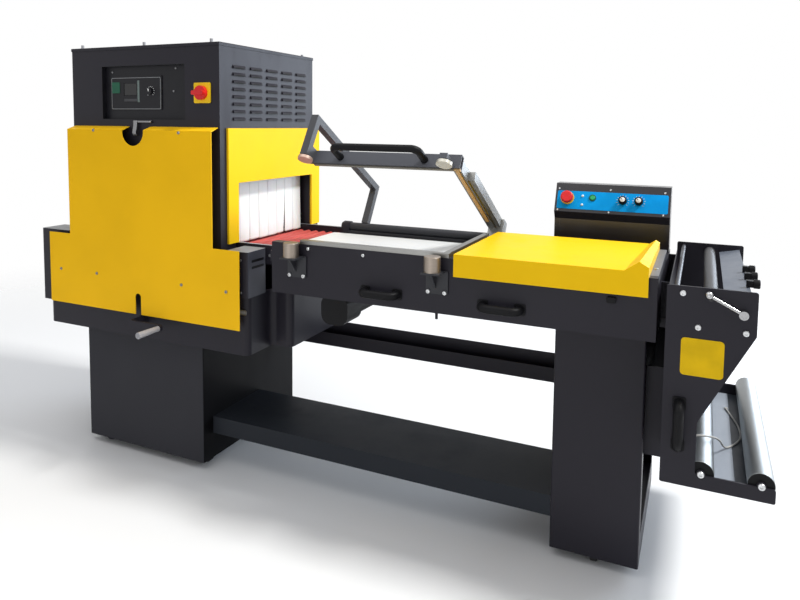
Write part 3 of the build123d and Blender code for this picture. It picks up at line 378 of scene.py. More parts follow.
plastics = {
    "blackMoulding": {"colour": (0.005, 0.005, 0.006), "rough": 0.46, "grain": 0.22, "gloss": 0.13},
    "panelBlack": {"colour": (0.010, 0.010, 0.013), "rough": 0.40, "grain": 0.10, "gloss": 0.20},
    "displayGlass": {"colour": (0.006, 0.006, 0.007), "rough": 0.10, "grain": 0.0, "gloss": 0.45},
    "stopRed": {"colour": (0.66, 0.012, 0.016), "rough": 0.30, "grain": 0.05, "gloss": 0.40},
    "startGreen": {"colour": (0.02, 0.36, 0.12), "rough": 0.30, "grain": 0.05, "gloss": 0.40},
    "patchGreen": {"colour": (0.012, 0.10, 0.055), "rough": 0.42, "grain": 0.04, "gloss": 0.25},
    "collarYellow": {"colour": (0.88, 0.58, 0.01), "rough": 0.34, "grain": 0.05, "gloss": 0.30},
    "plateYellow": {"colour": (0.72, 0.46, 0.004), "rough": 0.40, "grain": 0.05, "gloss": 0.10},
    "panelBlue": {"colour": (0.002, 0.31, 0.79), "rough": 0.42, "grain": 0.04, "gloss": 0.08},
    "printGrey": {"colour": (0.26, 0.27, 0.28), "rough": 0.45, "grain": 0.04, "gloss": 0.20},
    "stripGrey": {"colour": (0.15, 0.19, 0.18), "rough": 0.45, "grain": 0.04, "gloss": 0.20},
    "capWhite": {"colour": (0.74, 0.75, 0.74), "rough": 0.36, "grain": 0.04, "gloss": 0.40},
    "lampClear": {"colour": (0.66, 0.74, 0.78), "rough": 0.14, "grain": 0.0, "gloss": 0.50},
    "casterTread": {"colour": (0.016, 0.016, 0.017), "rough": 0.60, "grain": 0.30, "gloss": 0.30},
    "filmSkin": {"colour": (0.055, 0.055, 0.058), "rough": 0.50, "grain": 0.05, "gloss": 0.15},
    "sleeveRed": {"colour": (0.50, 0.080, 0.066), "rough": 0.50, "grain": 0.12, "gloss": 0.25},
    "brakeCord": {"colour": (0.46, 0.45, 0.43), "rough": 0.58, "grain": 0.35, "gloss": 0.30},
}

# moulded plastic or rubber: spark-eroded grain, slight change in tone and gloss
mould = {"cloud": 14.0, "deep": 0.88, "light": 1.08, "roughSpan": 0.10, "spots": 900.0, "depth": 0.0004}


def mouldTone(look, coords):
    cloud = coords.noise(mould["cloud"], 3.0)
    tone = mixed(cloud.step(0.3, 0.7), *shades(look["colour"], mould["deep"], mould["light"]))
    rough = look["rough"] - mould["roughSpan"] / 2 + cloud * mould["roughSpan"]
    return tone, rough.clip(), bumped(coords.spots(mould["spots"]), look["grain"], mould["depth"])


def moulded(name):
    look = plastics[name]
    coords, facing, wear = finishOf(name)
    tone, rough, normal = mouldTone(look, coords)
    return wear(Base_Color=tone, Roughness=rough, Normal=normal, Specular_IOR_Level=look["gloss"])


# a part in two finishes: plastic where the mask is 0, bare metal where it is 1
def plasticAndMetal(name, plastic, bare, maskOf):
    coords, facing, wear = finishOf(name)
    dull, dullRough, dullNormal = mouldTone(plastics[plastic], coords)
    bright, brightRough, brightNormal = metalTone(metals[bare], coords)
    mask = maskOf(coords, facing)
    rough = dullRough + mask * (brightRough - dullRough)
    return wear(
        Base_Color=mixed(mask, dull, bright), Metallic=mask, Roughness=rough, Normal=dullNormal,
        Specular_IOR_Level=plastics[plastic]["gloss"],
    )


# a tunnel roller is bare outside its sleeve; a cradle roller is bare on its skin and black on its ends
rollers = {"sleeveFrom": 137.4, "sleeveTo": 583.6, "endFacing": 0.6}


def outsideSleeve(coords, facing):
    y = coords.axis("Y")
    inside = (y > yAt(rollers["sleeveFrom"])) * (y < yAt(rollers["sleeveTo"]))
    return 1 - inside


def rollerSkin(coords, facing):
    along = facing.axis("Y")
    return along * along < rollers["endFacing"]


# coated belt: fine weave under a white skin, scuffs along the run, a little grime at the edges
belt = {
    "weave": 210.0, "waver": 0.4, "scuff": (2.0, 60.0, 2.0), "edge": 0.02, "edgeGrime": 0.5,
    "scuffGrime": 0.35, "white": (0.66, 0.67, 0.67), "grimy": (0.36, 0.36, 0.35), "rough": 0.48,
    "scuffRough": 0.12, "bump": (0.18, 0.0003),
}


def beltCloth():
    coords, facing, wear = finishOf("beltCloth")
    low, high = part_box("conveyor_belt")
    y = coords.axis("Y")
    thread = {"Vector": coords, "Scale": belt["weave"], "Distortion": belt["waver"]}
    warp = coords.node("TexWave", {"bands_direction": "X"}, thread)
    weft = coords.node("TexWave", {"bands_direction": "Y"}, thread)
    scuffs = coords.stretched(*belt["scuff"]).noise(1.0, 4.0, 0.6).step(0.56, 0.82)
    edge = 1 - ((y - low.y) / belt["edge"]).clip() * ((high.y - y) / belt["edge"]).clip()
    grime = (edge * belt["edgeGrime"] + scuffs * belt["scuffGrime"]) * coords.noise(30.0, 3.0)
    return wear(
        Base_Color=mixed(grime.clip(), belt["white"], belt["grimy"]),
        Roughness=belt["rough"] + scuffs * belt["scuffRough"], Normal=bumped(warp * weft, *belt["bump"]),
    )


# strip curtain: milky sheet with faint vertical streaks and a lower hem that turns darker and browner towards
# the bottom
curtainLook = {
    "hem": 50 * mm, "milk": (0.80, 0.80, 0.78), "light": (0.89, 0.89, 0.87), "hemTone": (0.62, 0.56, 0.46),
    "streak": (1.0, 90.0, 5.0), "hemShare": 0.5, "rough": 0.42, "streakRough": 0.14, "bump": (0.12, 0.001),
    "glow": 0.12, "glowDepth": 0.004,
}


def curtainCloth():
    coords, facing, wear = finishOf("curtainCloth")
    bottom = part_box("tunnel_curtains")[0].z
    streaks = coords.stretched(*curtainLook["streak"]).noise(1.0, 4.0, 0.6)
    low = ((bottom + curtainLook["hem"] - coords.axis("Z")) / curtainLook["hem"]).clip()
    hem = (low * coords.noise(22.0, 3.0)).clip() * curtainLook["hemShare"]
    milky = mixed(streaks, curtainLook["milk"], curtainLook["light"])
    return wear(
        Base_Color=mixed(hem, milky, curtainLook["hemTone"]),
        Roughness=curtainLook["rough"] + streaks * curtainLook["streakRough"],
        Normal=bumped(streaks, *curtainLook["bump"]),
        Subsurface_Weight=curtainLook["glow"], Subsurface_Scale=curtainLook["glowDepth"],
    )


# sealing tape: woven cover, dark on the front blade and tan on the side one, darker where it has been hot
tape = {
    "sideFrom": 1440, "front": (0.13, 0.12, 0.10), "side": (0.52, 0.34, 0.14), "scorch": (0.22, 0.14, 0.07),
    "weave": 700.0, "scorchShare": 0.6, "rough": 0.44, "scorchRough": 0.2, "bump": (0.2, 0.0003),
}


def sealTape():
    coords, facing, wear = finishOf("sealTape")
    scorch = coords.noise(18.0, 4.0).step(0.5, 0.8) * tape["scorchShare"]
    onSide = coords.axis("X") > xAt(tape["sideFrom"])
    tone = mixed(onSide, tape["front"], mixed(scorch, tape["side"], tape["scorch"]))
    return wear(
        Base_Color=tone, Roughness=tape["rough"] + scorch * tape["scorchRough"],
        Normal=bumped(coords.spots(tape["weave"]), *tape["bump"]),
    )


# the two discs of the arm: the left one copper, the right one plain steel
discs = {
    "copper": ((0.50, 0.34, 0.27), (0.62, 0.45, 0.37)), "steel": ((0.50, 0.48, 0.42), (0.64, 0.62, 0.55)),
    "cloud": 60.0, "metallic": 0.6, "rough": 0.30, "cloudRough": 0.14,
}


def armatureMetal():
    coords, facing, wear = finishOf("armatureMetal")
    low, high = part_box("armature_discs")
    right = coords.axis("X") > (low.x + high.x) / 2
    clouds = coords.noise(discs["cloud"], 4.0)
    tone = mixed(right, mixed(clouds, *discs["copper"]), mixed(clouds, *discs["steel"]))
    rough = discs["rough"] + clouds * discs["cloudRough"]
    return wear(Base_Color=tone, Metallic=discs["metallic"], Roughness=rough)


finishes = {name: powderCoat(name, name) for name in paints}
finishes.update({name: powderCoat(name, *coat) for name, coat in coats.items()})
finishes.update({name: workedMetal(name) for name in metals})
finishes.update({name: moulded(name) for name in plastics})
finishes.update(
    portalCoat=portalCoat(), unwinderCoat=unwinderCoat(), beltCloth=beltCloth(),
    curtainCloth=curtainCloth(), sealTape=sealTape(), armatureMetal=armatureMetal(),
    rollerSleeve=plasticAndMetal("rollerSleeve", "sleeveRed", "zincPlate", outsideSleeve),
    cradleSkin=plasticAndMetal("cradleSkin", "blackMoulding", "rollerSkin", rollerSkin),
)

# one finish for each carried-over node, by name or by the start of its name; the others are anthracite
nodeFinish = {
    "front_cover": "coverYellow", "tunnel_hoods": "signalYellow", "loading_tray": "signalYellow",
    "left_pedestal": "standCoat", "lower_shelf": "shelfGrey", "console_housing": "consoleGloss",
    "control_cabinet": "cabinetCoat", "cabinet_lid": "lidCoat", "table_frame": "tableCoat",
    "tunnel_rails": "railCoat", "unwinder_frame": "unwinderCoat", "arm_portal": "portalCoat",
    "arm_side_bar": "barAlloy", "arm_front_bar": "frontBarGrey", "arm_handle": "blackMoulding",
    "pull_handles": "blackMoulding", "control_panel": "panelBlack", "seal_time_knob": "blackMoulding",
    "tunnel_speed_knob": "blackMoulding", "fan_motor": "barGrey", "belt_gearmotor": "blackMoulding",
    "caster_fork": "zincPlate", "caster_wheel": "casterTread", "seal_blades": "sealTape",
    "lower_jaws": "barAlloy", "armature_discs": "armatureMetal", "hold_down_magnets": "magnetSteel",
    "magnet_brackets": "barGrey", "height_crank": "crankMetal", "heater_elements": "heaterSteel",
    "fan_impeller": "zincPlate", "cradle_roller": "cradleSkin", "film_roller": "filmSkin",
    "belt_drive_roller": "rollerSkin", "belt_idler_roller": "rollerSkin", "clamp_lever": "polishedChrome",
    "conveyor_belt": "beltCloth", "tunnel_curtains": "curtainCloth", "tunnel_rollers": "rollerSleeve",
    "main_switch_knob": "stopRed", "estop_button": "stopRed", "start_button": "startGreen",
    "switch_collars": "collarYellow", "console_panel": "panelBlue", "film_perforators": "blackMoulding",
    "brake_cord": "brakeCord",
}
for name, node in nodes.items():
    chosen = next((finish for start, finish in nodeFinish.items() if name.startswith(start)), "anthracite")
    node.data.materials.clear()
    node.data.materials.append(finishes[chosen])
print("finishes:", len(finishes))


# camera at the photograph's place
view = {
    "place": (2071.6, -1692.3, 1208.4), "ahead": (-0.41191, 0.90789, -0.07784),
    "up": (-0.0416, 0.0665, 0.9969), "lens": 30.34, "sensor": 36, "shift": (0.0034, -0.1535), "reach": 100,
}
camera = bpy.data.objects.new("camera", bpy.data.cameras.new("camera"))
bpy.context.scene.collection.objects.link(camera)
ahead = Vector(view["ahead"]).normalized()
sideways = ahead.cross(Vector(view["up"])).normalized()
upward = sideways.cross(ahead)
turn = Matrix((sideways, upward, -ahead)).transposed().to_4x4()
camera.matrix_world = Matrix.Translation(at(*view["place"])) @ turn
camera.data.sensor_width = view["sensor"]
camera.data.lens = view["lens"]
camera.data.shift_x, camera.data.shift_y = view["shift"]
camera.data.clip_end = view["reach"]
bpy.context.scene.camera = camera


# a grid of points (patches, rows, columns, 3) becomes quads between neighbours;
# closed joins the last column to the first, looped the last row to the first
def gridPiece(name, points, finish, body, slot, closed=False, looped=False, smooth=True):
    patches, rows, columns = points.shape[:3]
    index = np.arange(patches * rows * columns).reshape(patches, rows, columns)
    if closed:
        index = np.concatenate([index, index[:, :, :1]], axis=2)
    if looped:
        index = np.concatenate([index, index[:, :1]], axis=1)
    corners = [index[:, :-1, :-1], index[:, :-1, 1:], index[:, 1:, 1:], index[:, 1:, :-1]]
    quads = np.stack(corners, -1).reshape(-1, 4)
    mesh = bpy.data.meshes.new(name)
    mesh.from_pydata(points.reshape(-1, 3).tolist(), [], quads.tolist())
    work = bmesh.new()
    work.from_mesh(mesh)
    bmesh.ops.remove_doubles(work, verts=work.verts, dist=1e-6)
    bmesh.ops.recalc_face_normals(work, faces=work.faces)
    work.to_mesh(mesh)
    work.free()
    mesh.polygons.foreach_set("use_smooth", np.full(len(mesh.polygons), smooth))
    piece = bpy.data.objects.new(name, mesh)
    bpy.context.scene.collection.objects.link(piece)
    mesh.materials.append(finishes[finish])
    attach(piece, body)
    return piece


# an axis of length 1 and a ring of unit vectors round it: cos of the angle one way, sin of it the other
def ringRound(axis, columns):
    axis = np.array(axis, float) / np.linalg.norm(axis)
    side = np.cross(axis, (0, 0, 1)) if abs(axis[2]) < 0.9 else np.cross(axis, (0, 1, 0))
    side = side / np.linalg.norm(side)
    angle = np.linspace(0, 2 * np.pi, columns, endpoint=False)
    return axis, angle, np.cos(angle)[:, None] * side + np.sin(angle)[:, None] * np.cross(axis, side)


# turned part: a profile of (radius, height) goes round an axis at every place, from pole to pole
def turned(name, places, axis, profile, finish, body, slot, columns=28):
    axis, angle, ring = ringRound(axis, columns)
    profile = np.array(profile, float) * mm
    form = profile[:, 0, None, None] * ring + profile[:, 1, None, None] * axis
    points = np.array(places, float)[:, None, None, :] + form
    return gridPiece(name, points, finish, body, slot, closed=True)


# socket-head screw: crowned rim, six-sided recess whose radius goes as 1 / cos of the angle to the flat;
# each step is (share of the radius, share of the height, 1 in the recess)
screwSteps = (
    (0.0, 0.45, 0), (0.42, 0.45, 1), (0.42, 1.0, 1), (0.70, 1.0, 0), (0.90, 0.86, 0), (1.0, 0.55, 0),
    (1.0, -0.05, 0), (0.0, -0.05, 0),
)


def screws(name, places, axis, radius, height, finish, body, slot, columns=24):
    axis, angle, ring = ringRound(axis, columns)
    hexed = 1 / np.cos((angle + np.pi / 6) % (np.pi / 3) - np.pi / 6)
    steps = np.array(screwSteps)
    reach = steps[:, :1] * np.where(steps[:, 2:] > 0, hexed, 1.0) * radius * mm
    form = reach[:, :, None] * ring + (steps[:, 1] * height * mm)[:, None, None] * axis
    points = np.array(places, float)[:, None, None, :] + form
    return gridPiece(name, points, finish, body, slot, closed=True, smooth=False)


# a rounded rectangle's edge, let out or taken in by an offset:
# half sizes less the corner, plus a quarter turn at each corner
def roundedEdge(width, height, radius, offset, columns=48):
    angle = (np.arange(columns) + 0.5) * 2 * np.pi / columns
    turn = np.stack([np.cos(angle), np.sin(angle)], -1)
    reach = np.array([width / 2 - radius, height / 2 - radius])
    return (np.sign(turn) * reach + (radius + offset) * turn) * mm


# a plate or a flat frame on a surface: its edge is stepped over it at (offset, lift, share of the size)
def edgedPiece(name, origin, right, up, size, radius, steps, finish, body, slot, looped=False):
    right, up = np.array(right, float), np.array(up, float)
    out = np.cross(right, up)
    rows = []
    for offset, lift, share in steps:
        edge = roundedEdge(*size, radius, offset) * share
        rows.append(edge[:, :1] * right + edge[:, 1:] * up + lift * mm * out)
    points = (np.array(origin, float) + np.array(rows))[None]
    return gridPiece(name, points, finish, body, slot, closed=True, looped=looped, smooth=False)


bevelShare = 0.3  # of a plate's thickness or corner, whichever is less


# a plate: from the middle of its back out to the edge, up, over a bevel and in to the middle of its face
def plateOn(name, origin, right, up, size, thick, radius, finish, body, slot):
    bevel = min(thick, radius) * bevelShare
    steps = ((0, 0, 0), (0, 0, 1), (0, thick - bevel, 1), (-bevel, thick, 1), (-bevel, thick, 0))
    return edgedPiece(name, origin, right, up, size, radius, steps, finish, body, slot)


# a frame: up its outer edge, in by the width of its line, and down again
def frameOn(name, origin, right, up, size, line, thick, radius, finish, body, slot):
    steps = ((0, 0, 1), (0, thick, 1), (-line, thick, 1), (-line, 0, 1))
    return edgedPiece(name, origin, right, up, size, radius, steps, finish, body, slot, looped=True)


# plates from a dictionary, in millimetres; one that has a line is a frame
def setPlates(plates):
    for name, plate in plates.items():
        lying = (name, at(*plate["place"]), plate.get("right", toRight), upright, plate["size"])
        made = (plate["thick"], plate["corner"], plate["finish"], "frame", plate["slot"])
        if "line" in plate:
            frameOn(*lying, plate["line"], *made)
        else:
            plateOn(*lying, *made)


# bars set round a centre like the hours of a clock: four corners from radius to radius, with a thickness
def ticksOn(name, centres, right, up, angles, inner, outer, width, thick, finish, body, slot):
    right, up = np.array(right, float), np.array(up, float)
    out = np.cross(right, up)
    turn = np.radians(np.array(angles, float))[:, None]
    ray = np.sin(turn) * right + np.cos(turn) * up
    side = np.cos(turn) * right - np.sin(turn) * up
    corners = np.array([(inner, -1), (outer, -1), (outer, 1), (inner, 1)], float)
    ring = corners[:, 0, None, None] * ray + corners[:, 1, None, None] * side * width / 2
    ring = np.moveaxis(ring, 0, 1) * mm
    middle = np.repeat(ring.mean(1, keepdims=True), 4, 1)
    lift = thick * mm * out
    form = np.stack([middle, ring, ring + lift, middle + lift], 1)
    points = (np.array(centres, float)[:, None, None, None, :] + form[None]).reshape(-1, 4, 4, 3)
    return gridPiece(name, points, finish, body, slot, closed=True, smooth=False)


# a section carried along a path: a superellipse of two half sizes across it; open ends close to a point
def carried(name, path, over, half, finish, body, slot, square=1.0, looped=False, columns=16):
    path = np.array(path, float)
    over = np.array(over, float) / np.linalg.norm(over)
    ahead = (np.roll(path, -1, 0) - np.roll(path, 1, 0)) if looped else np.gradient(path, axis=0)
    ahead /= np.linalg.norm(ahead, axis=1, keepdims=True)
    side = np.cross(over, ahead)
    side /= np.linalg.norm(side, axis=1, keepdims=True)
    rise = np.cross(ahead, side)
    angle = (np.arange(columns) + 0.5) * 2 * np.pi / columns
    wide = np.sign(np.cos(angle)) * np.abs(np.cos(angle)) ** square * half[0] * mm
    tall = np.sign(np.sin(angle)) * np.abs(np.sin(angle)) ** square * half[1] * mm
    tube = path[:, None] + wide[None, :, None] * side[:, None] + tall[None, :, None] * rise[:, None]
    if not looped:
        ends = np.repeat(path[[0, -1]][:, None], columns, 1)
        tube = np.concatenate([ends[:1], tube, ends[1:]])
    return gridPiece(name, tube[None], finish, body, slot, closed=True, looped=looped)


# the brake cord: from its eyelet over the inner roller, then in a bend on the cradle's plate to a knot
cordLook = {
    "diameter": 0.005, "length": 0.53, "knotSize": 1.25 * mm, "knotTube": 1.9, "knotLift": 1.0 * mm,
    "route": (
        (2.0175, 0.110, 0.407), (2.0505, 0.110, 0.407), (2.076, 0.110, 0.437), (2.102, 0.114, 0.441),
        (2.138, 0.160, 0.421), (2.153, 0.222, 0.3684), (2.177, 0.257, 0.3684), (2.195, 0.302, 0.3684),
        (2.197, 0.356, 0.3684), (2.187, 0.424, 0.3684), (2.164, 0.507, 0.3684),
    ),
}
cordPath = np.array(cordLook["route"]) + (*corner, 0)
cordCurve = bpy.data.curves.new("brakeCord", "CURVE")
cordCurve.dimensions = "3D"
cordLine = cordCurve.splines.new("NURBS")
cordLine.points.add(len(cordPath) - 1)
cordLine.points.foreach_set("co", np.c_[cordPath, np.ones(len(cordPath))].ravel())
cordLine.order_u = 3
cordLine.use_endpoint_u = True
cordLine.resolution_u = 12
cordCurve.bevel_depth = cordLook["diameter"] / 2
cordCurve.bevel_resolution = 4
cordCurve.use_fill_caps = True
cordCurve.materials.append(finishes["brakeCord"])
brakeCord = bpy.data.objects.new("brakeCord", cordCurve)
bpy.context.scene.collection.objects.link(brakeCord)
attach(brakeCord, "frame")
# the knot is a trefoil: x = sin t + 2 sin 2t, y = cos t - 2 cos 2t, z = -sin 3t
loop = np.linspace(0, 2 * np.pi, 72, endpoint=False)
trefoil = np.stack([
    np.sin(loop) + 2 * np.sin(2 * loop), np.cos(loop) - 2 * np.cos(2 * loop), -np.sin(3 * loop),
], -1)
knotPath = cordPath[-1] + (0, 0, cordLook["knotLift"]) + cordLook["knotSize"] * trefoil
cordKnot = carried("cordKnot", knotPath, upright, (cordLook["knotTube"],) * 2, "brakeCord", "frame",
                   "cord_grey", looped=True, columns=10)
tuple(cordPath[0])
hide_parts("brake_cord")
print("cord laid")


# strip curtains: strips side by side, each hung from its top; it bows outwards by a half cosine across it
# and a sine down it, both growing as a power of the way down; one is drawn aside as that way squared
curtain = {
    "strips": 8, "slit": 0.15 * mm, "thick": 1.6 * mm, "swell": 5 * mm, "sideGap": 1.5 * mm,
    "floorGap": 3 * mm, "parted": 5, "part": 9 * mm, "hang": 4 * mm, "inset": 1 * mm, "stray": 0.1 * mm,
    "rows": 40, "columns": 15, "power": 1.6, "cup": 0.55, "sway": 0.45, "wave": 2.4, "phase": 0.5,
    "uneven": 0.10,
}


def stripCurtain(name, x, outward, seed):
    low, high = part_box("tunnel_curtains")
    yLow, yHigh = low.y + curtain["sideGap"], high.y - curtain["sideGap"]
    length = high.z - low.z + curtain["hang"]
    pitch = (yHigh - yLow) / curtain["strips"]
    width = pitch - curtain["slit"]
    strip = np.arange(curtain["strips"])[:, None, None]
    down = np.linspace(0, 1, curtain["rows"])[None, :, None]
    over = np.linspace(0, 1, curtain["columns"])[None, None, :]
    chance = np.random.default_rng(seed).uniform(-1, 1, (4, curtain["strips"], 1, 1))
    parting = np.where(strip == curtain["parted"], -1.0, 0.0) * curtain["part"] * down ** 2 * over
    stray = curtain["stray"] * chance[0] * down
    y = yLow + strip * pitch + curtain["slit"] / 2 + over * width + stray + parting
    z = high.z - down * (length - curtain["floorGap"] * (0.5 + 0.5 * chance[1])) + 0 * over
    lean = down ** curtain["power"]
    cup = curtain["cup"] * np.cos((over - 0.5) * np.pi) * lean
    sway = curtain["sway"] * np.sin(curtain["wave"] * down + curtain["phase"] * chance[2]) * lean
    uneven = curtain["uneven"] * chance[3] * lean
    x = x + outward * curtain["swell"] * (cup + sway + uneven) + 0 * z
    points = np.stack(np.broadcast_arrays(x, y, z), -1)
    piece = gridPiece(name, points, "curtainCloth", "frame", "curtain_white")
    solid = piece.modifiers.new("thickness", "SOLIDIFY")
    solid.thickness = curtain["thick"]
    solid.offset = 0
    return piece


curtainLow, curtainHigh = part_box("tunnel_curtains")
rightCurtain = stripCurtain("curtainRight", curtainHigh.x - curtain["inset"], 1, seed=4)
leftCurtain = stripCurtain("curtainLeft", curtainLow.x + curtain["inset"], -1, seed=9)
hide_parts("tunnel_curtains")
print("curtains hung")

# screws on faces that look to the front: the face's depth and places (x, z), in mm from the corner
fasteners = {
    "cover": {
        "face": 11, "radius": 5, "height": 3, "finish": "dullScrew",
        "places": ((136, 1178), (517, 1174), (136, 673), (520, 673), (-42, 673), (703, 670))},
    "bracket": {
        "face": -5, "radius": 6, "height": 5, "finish": "zincPlate",
        "places": ((955, 755.5), (1003, 755.5), (1402.5, 755.5), (1450.5, 755.5))},
    "apron": {
        "face": 0, "radius": 5, "height": 4, "finish": "zincPlate", "places": ((1016, 838), (1199.5, 835))},
    "unwinder": {
        "face": -12, "radius": 7, "height": 5, "finish": "zincPlate",
        "places": ((2042, 825), (2077, 748), (2176, 747))},
    "panel": {
        "face": 63.5, "radius": 3.6, "height": 2.4, "finish": "dullScrew",
        "places": ((452, 1312), (176, 1380), (462, 1388))},
    "endBox": {
        "face": 28, "radius": 4, "height": 2.5, "finish": "dullScrew",
        "places": ((748.5, 772.5), (749, 668))},
}
for name, kind in fasteners.items():
    places = [at(x, kind["face"], z) for x, z in kind["places"]]
    screws(name + "Screws", places, front, kind["radius"], kind["height"], kind["finish"], "frame",
           "bare_steel")
ledgeBolt = {"place": (1976, 108, 850), "radius": 5, "height": 4}
screws("ledgeBolt", [at(*ledgeBolt["place"])], upright, ledgeBolt["radius"], ledgeBolt["height"],
       "zincPlate", "frame", "bare_steel")
axleBolt = {
    "radius": 8, "height": 4.5, "ends": {"cradle_inner": (2097, -12, 399), "cradle_outer": (2223, -12, 399)},
}
for body, place in axleBolt["ends"].items():
    screws(body + "AxleBolt", [at(*place)], front, axleBolt["radius"], axleBolt["height"], "zincPlate",
           body, "bare_steel")
print("screws set")

# the control panel's face: printed frame, display and its two strips, green key, knob pointer and scale
panelPlates = {
    "panelFrame": {
        "place": (285.5, 60.5, 1306), "size": (224, 108), "line": 1.8, "thick": 0.5, "corner": 5,
        "finish": "printGrey", "slot": "black_plastic"},
    "panelDisplay": {
        "place": (261, 62, 1320), "size": (56, 40), "thick": 1.2, "corner": 2,
        "finish": "displayGlass", "slot": "black_plastic"},
    "panelSideStrip": {
        "place": (298, 60.5, 1313), "size": (9, 74), "thick": 0.8, "corner": 2,
        "finish": "stripGrey", "slot": "black_plastic"},
    "panelLowStrip": {
        "place": (262, 60.5, 1283), "size": (60, 9), "thick": 0.8, "corner": 2,
        "finish": "armGrey", "slot": "black_plastic"},
    "panelGreenKey": {
        "place": (194, 60.5, 1326), "size": (37, 38), "thick": 1.5, "corner": 4,
        "finish": "patchGreen", "slot": "green_plastic"},
}
setPlates(panelPlates)
# ticks give (inner radius, outer radius, width, thickness)
dialAngles = np.arange(-135, 136, 27)
panelKnob = {
    "top": (352, 51.5, 1312), "foot": (352, 60.5, 1312), "turn": -12,
    "pointer": (0, 9.5, 3.6, 1.0), "scale": (14, 18, 1.2, 0.4),
}
ticksOn("panelKnobPointer", [at(*panelKnob["top"])], toRight, upright, (panelKnob["turn"],),
        *panelKnob["pointer"], "capWhite", "frame", "black_plastic")
ticksOn("panelKnobScale", [at(*panelKnob["foot"])], toRight, upright, dialAngles, *panelKnob["scale"],
        "capWhite", "frame", "black_plastic")
print("panel dressed")

# the latch in the cover's notch: a round bar across, and a strap that hangs from it;
# its curl goes as the sine of pi times the fall cubed
latchBar = {"from": 294, "to": 372, "depth": 41.5, "height": 1209, "radius": 4}
barX = np.linspace(latchBar["from"], latchBar["to"], 12)
barPath = np.array([at(x, latchBar["depth"], latchBar["height"]) for x in barX])
carried("latchBar", barPath, upright, (latchBar["radius"],) * 2, "dullScrew", "frame", "bare_steel")
latchStrap = {"x": 304, "depth": 37.0, "top": 1213, "drop": 52, "curl": 6, "half": (8, 1.3), "square": 0.4}
fall = np.linspace(0, 1, 28)
strapPath = np.stack([
    np.full_like(fall, latchStrap["x"]),
    latchStrap["depth"] - latchStrap["curl"] * np.sin(np.pi * fall ** 3),
    latchStrap["top"] - latchStrap["drop"] * fall,
], -1) * mm + (*corner, 0)
carried("latchStrap", strapPath, front, latchStrap["half"], "dullScrew", "frame", "bare_steel",
        square=latchStrap["square"])

# the console's face: rise is measured up its slope from the nose, lift straight out of it
console = {
    "nose": (562, 927), "slope": (38, 91), "overlay": 1.5, "screwRadius": 3, "screwHeight": 2,
    "screws": ((1636, 79), (1801, 81), (1967, 79), (1965, 5.5), (1800, 5), (1636, 5.5)),
    "lamps": ((1714, 26), (1714, 56)), "start": (1746, 51),
    "knobs": {"seal_time": 1841, "tunnel_speed": 1890},
    "knobRise": 46, "knobTop": 16.9, "capTop": 1.2, "knobTurn": -40,
    "pointer": (1, 7, 1.8, 0.4), "scale": (16, 20, 1.3, 0.3),
}
slope = np.array((0, *console["slope"]), float)
slope /= np.linalg.norm(slope)
outward = np.cross(toRight, slope)


def onConsole(x, rise, lift):
    return np.array(at(x, *console["nose"])) + (rise * slope + lift * outward) * mm


screws("consoleScrews", [onConsole(x, rise, 0) for x, rise in console["screws"]], outward,
       console["screwRadius"], console["screwHeight"], "zincPlate", "frame", "bare_steel")
lampLens = ((0, 0), (4.2, 0), (4.2, 0.8), (3.4, 1.9), (1.8, 2.7), (0, 3))
lampPlaces = [onConsole(x, rise, console["overlay"]) for x, rise in console["lamps"]]
turned("consoleLamps", lampPlaces, outward, lampLens, "lampClear", "frame", "blue_overlay")
startRing = ((8.4, 0), (11.5, 0), (11.5, 1.6), (10.6, 2.4), (9.2, 2.4), (8.4, 1.6), (8.4, 0))
startPlace = onConsole(*console["start"], console["overlay"])
turned("startRing", [startPlace], outward, startRing, "patchGreen", "frame", "green_plastic")
knobCap = ((0, 0), (8, 0), (8, 0.6), (7.2, console["capTop"]), (0, console["capTop"]))
for body, x in console["knobs"].items():
    top = onConsole(x, console["knobRise"], console["knobTop"])
    turned(body + "Cap", [top], outward, knobCap, "capWhite", body, "black_plastic")
    ticksOn(body + "Pointer", [top + console["capTop"] * mm * outward], toRight, slope,
            (console["knobTurn"],), *console["pointer"], "blackMoulding", body, "black_plastic")
scalePlaces = [onConsole(x, console["knobRise"], console["overlay"]) for x in console["knobs"].values()]
ticksOn("dialScales", scalePlaces, toRight, slope, dialAngles, *console["scale"], "capWhite", "frame",
        "blue_overlay")
print("console dressed")

# small plates: on the unwinder, under the tray, a slot with its rim on the tunnel's base, a strip under the
# torque tube, one between table and unwinder, and two vents on the rail box's end
smallPlates = {
    "unwinderPlate": {
        "place": (2088, -12, 676.5), "size": (92, 89), "thick": 1.2, "corner": 9,
        "finish": "plateYellow", "slot": "yellow_plastic"},
    "trayCatch": {
        "place": (1882, 0, 787.5), "size": (22, 15), "thick": 9, "corner": 3,
        "finish": "blackMoulding", "slot": "black_plastic"},
    "baseSlotRim": {
        "place": (732, 46, 599), "size": (50, 18), "line": 3.5, "thick": 1.5, "corner": 8,
        "finish": "dullScrew", "slot": "bare_steel"},
    "baseSlot": {
        "place": (732, 46, 599), "size": (44, 12), "thick": 0.6, "corner": 5,
        "finish": "printGrey", "slot": "bare_steel"},
    "pivotStrip": {
        "place": (1173, 432, 813.5), "size": (504, 27), "thick": 0.9, "corner": 0.8,
        "finish": "barGrey", "slot": "dark_paint"},
    "endGapPlate": {
        "place": (1996.5, 179, 698), "size": (21, 26), "thick": 2, "corner": 0.8,
        "finish": "anthracite", "slot": "dark_paint"},
    # painted shade: two thin black sheets stand for the vents' dark openings
    "upperVent": {
        "place": (776, 80, 768), "right": (0, 1, 0), "size": (64, 8), "thick": 0.5, "corner": 3,
        "finish": "blackMoulding", "slot": "black_plastic"},
    "lowerVent": {
        "place": (776, 80, 747.5), "right": (0, 1, 0), "size": (64, 8), "thick": 0.5, "corner": 3,
        "finish": "blackMoulding", "slot": "black_plastic"},
}
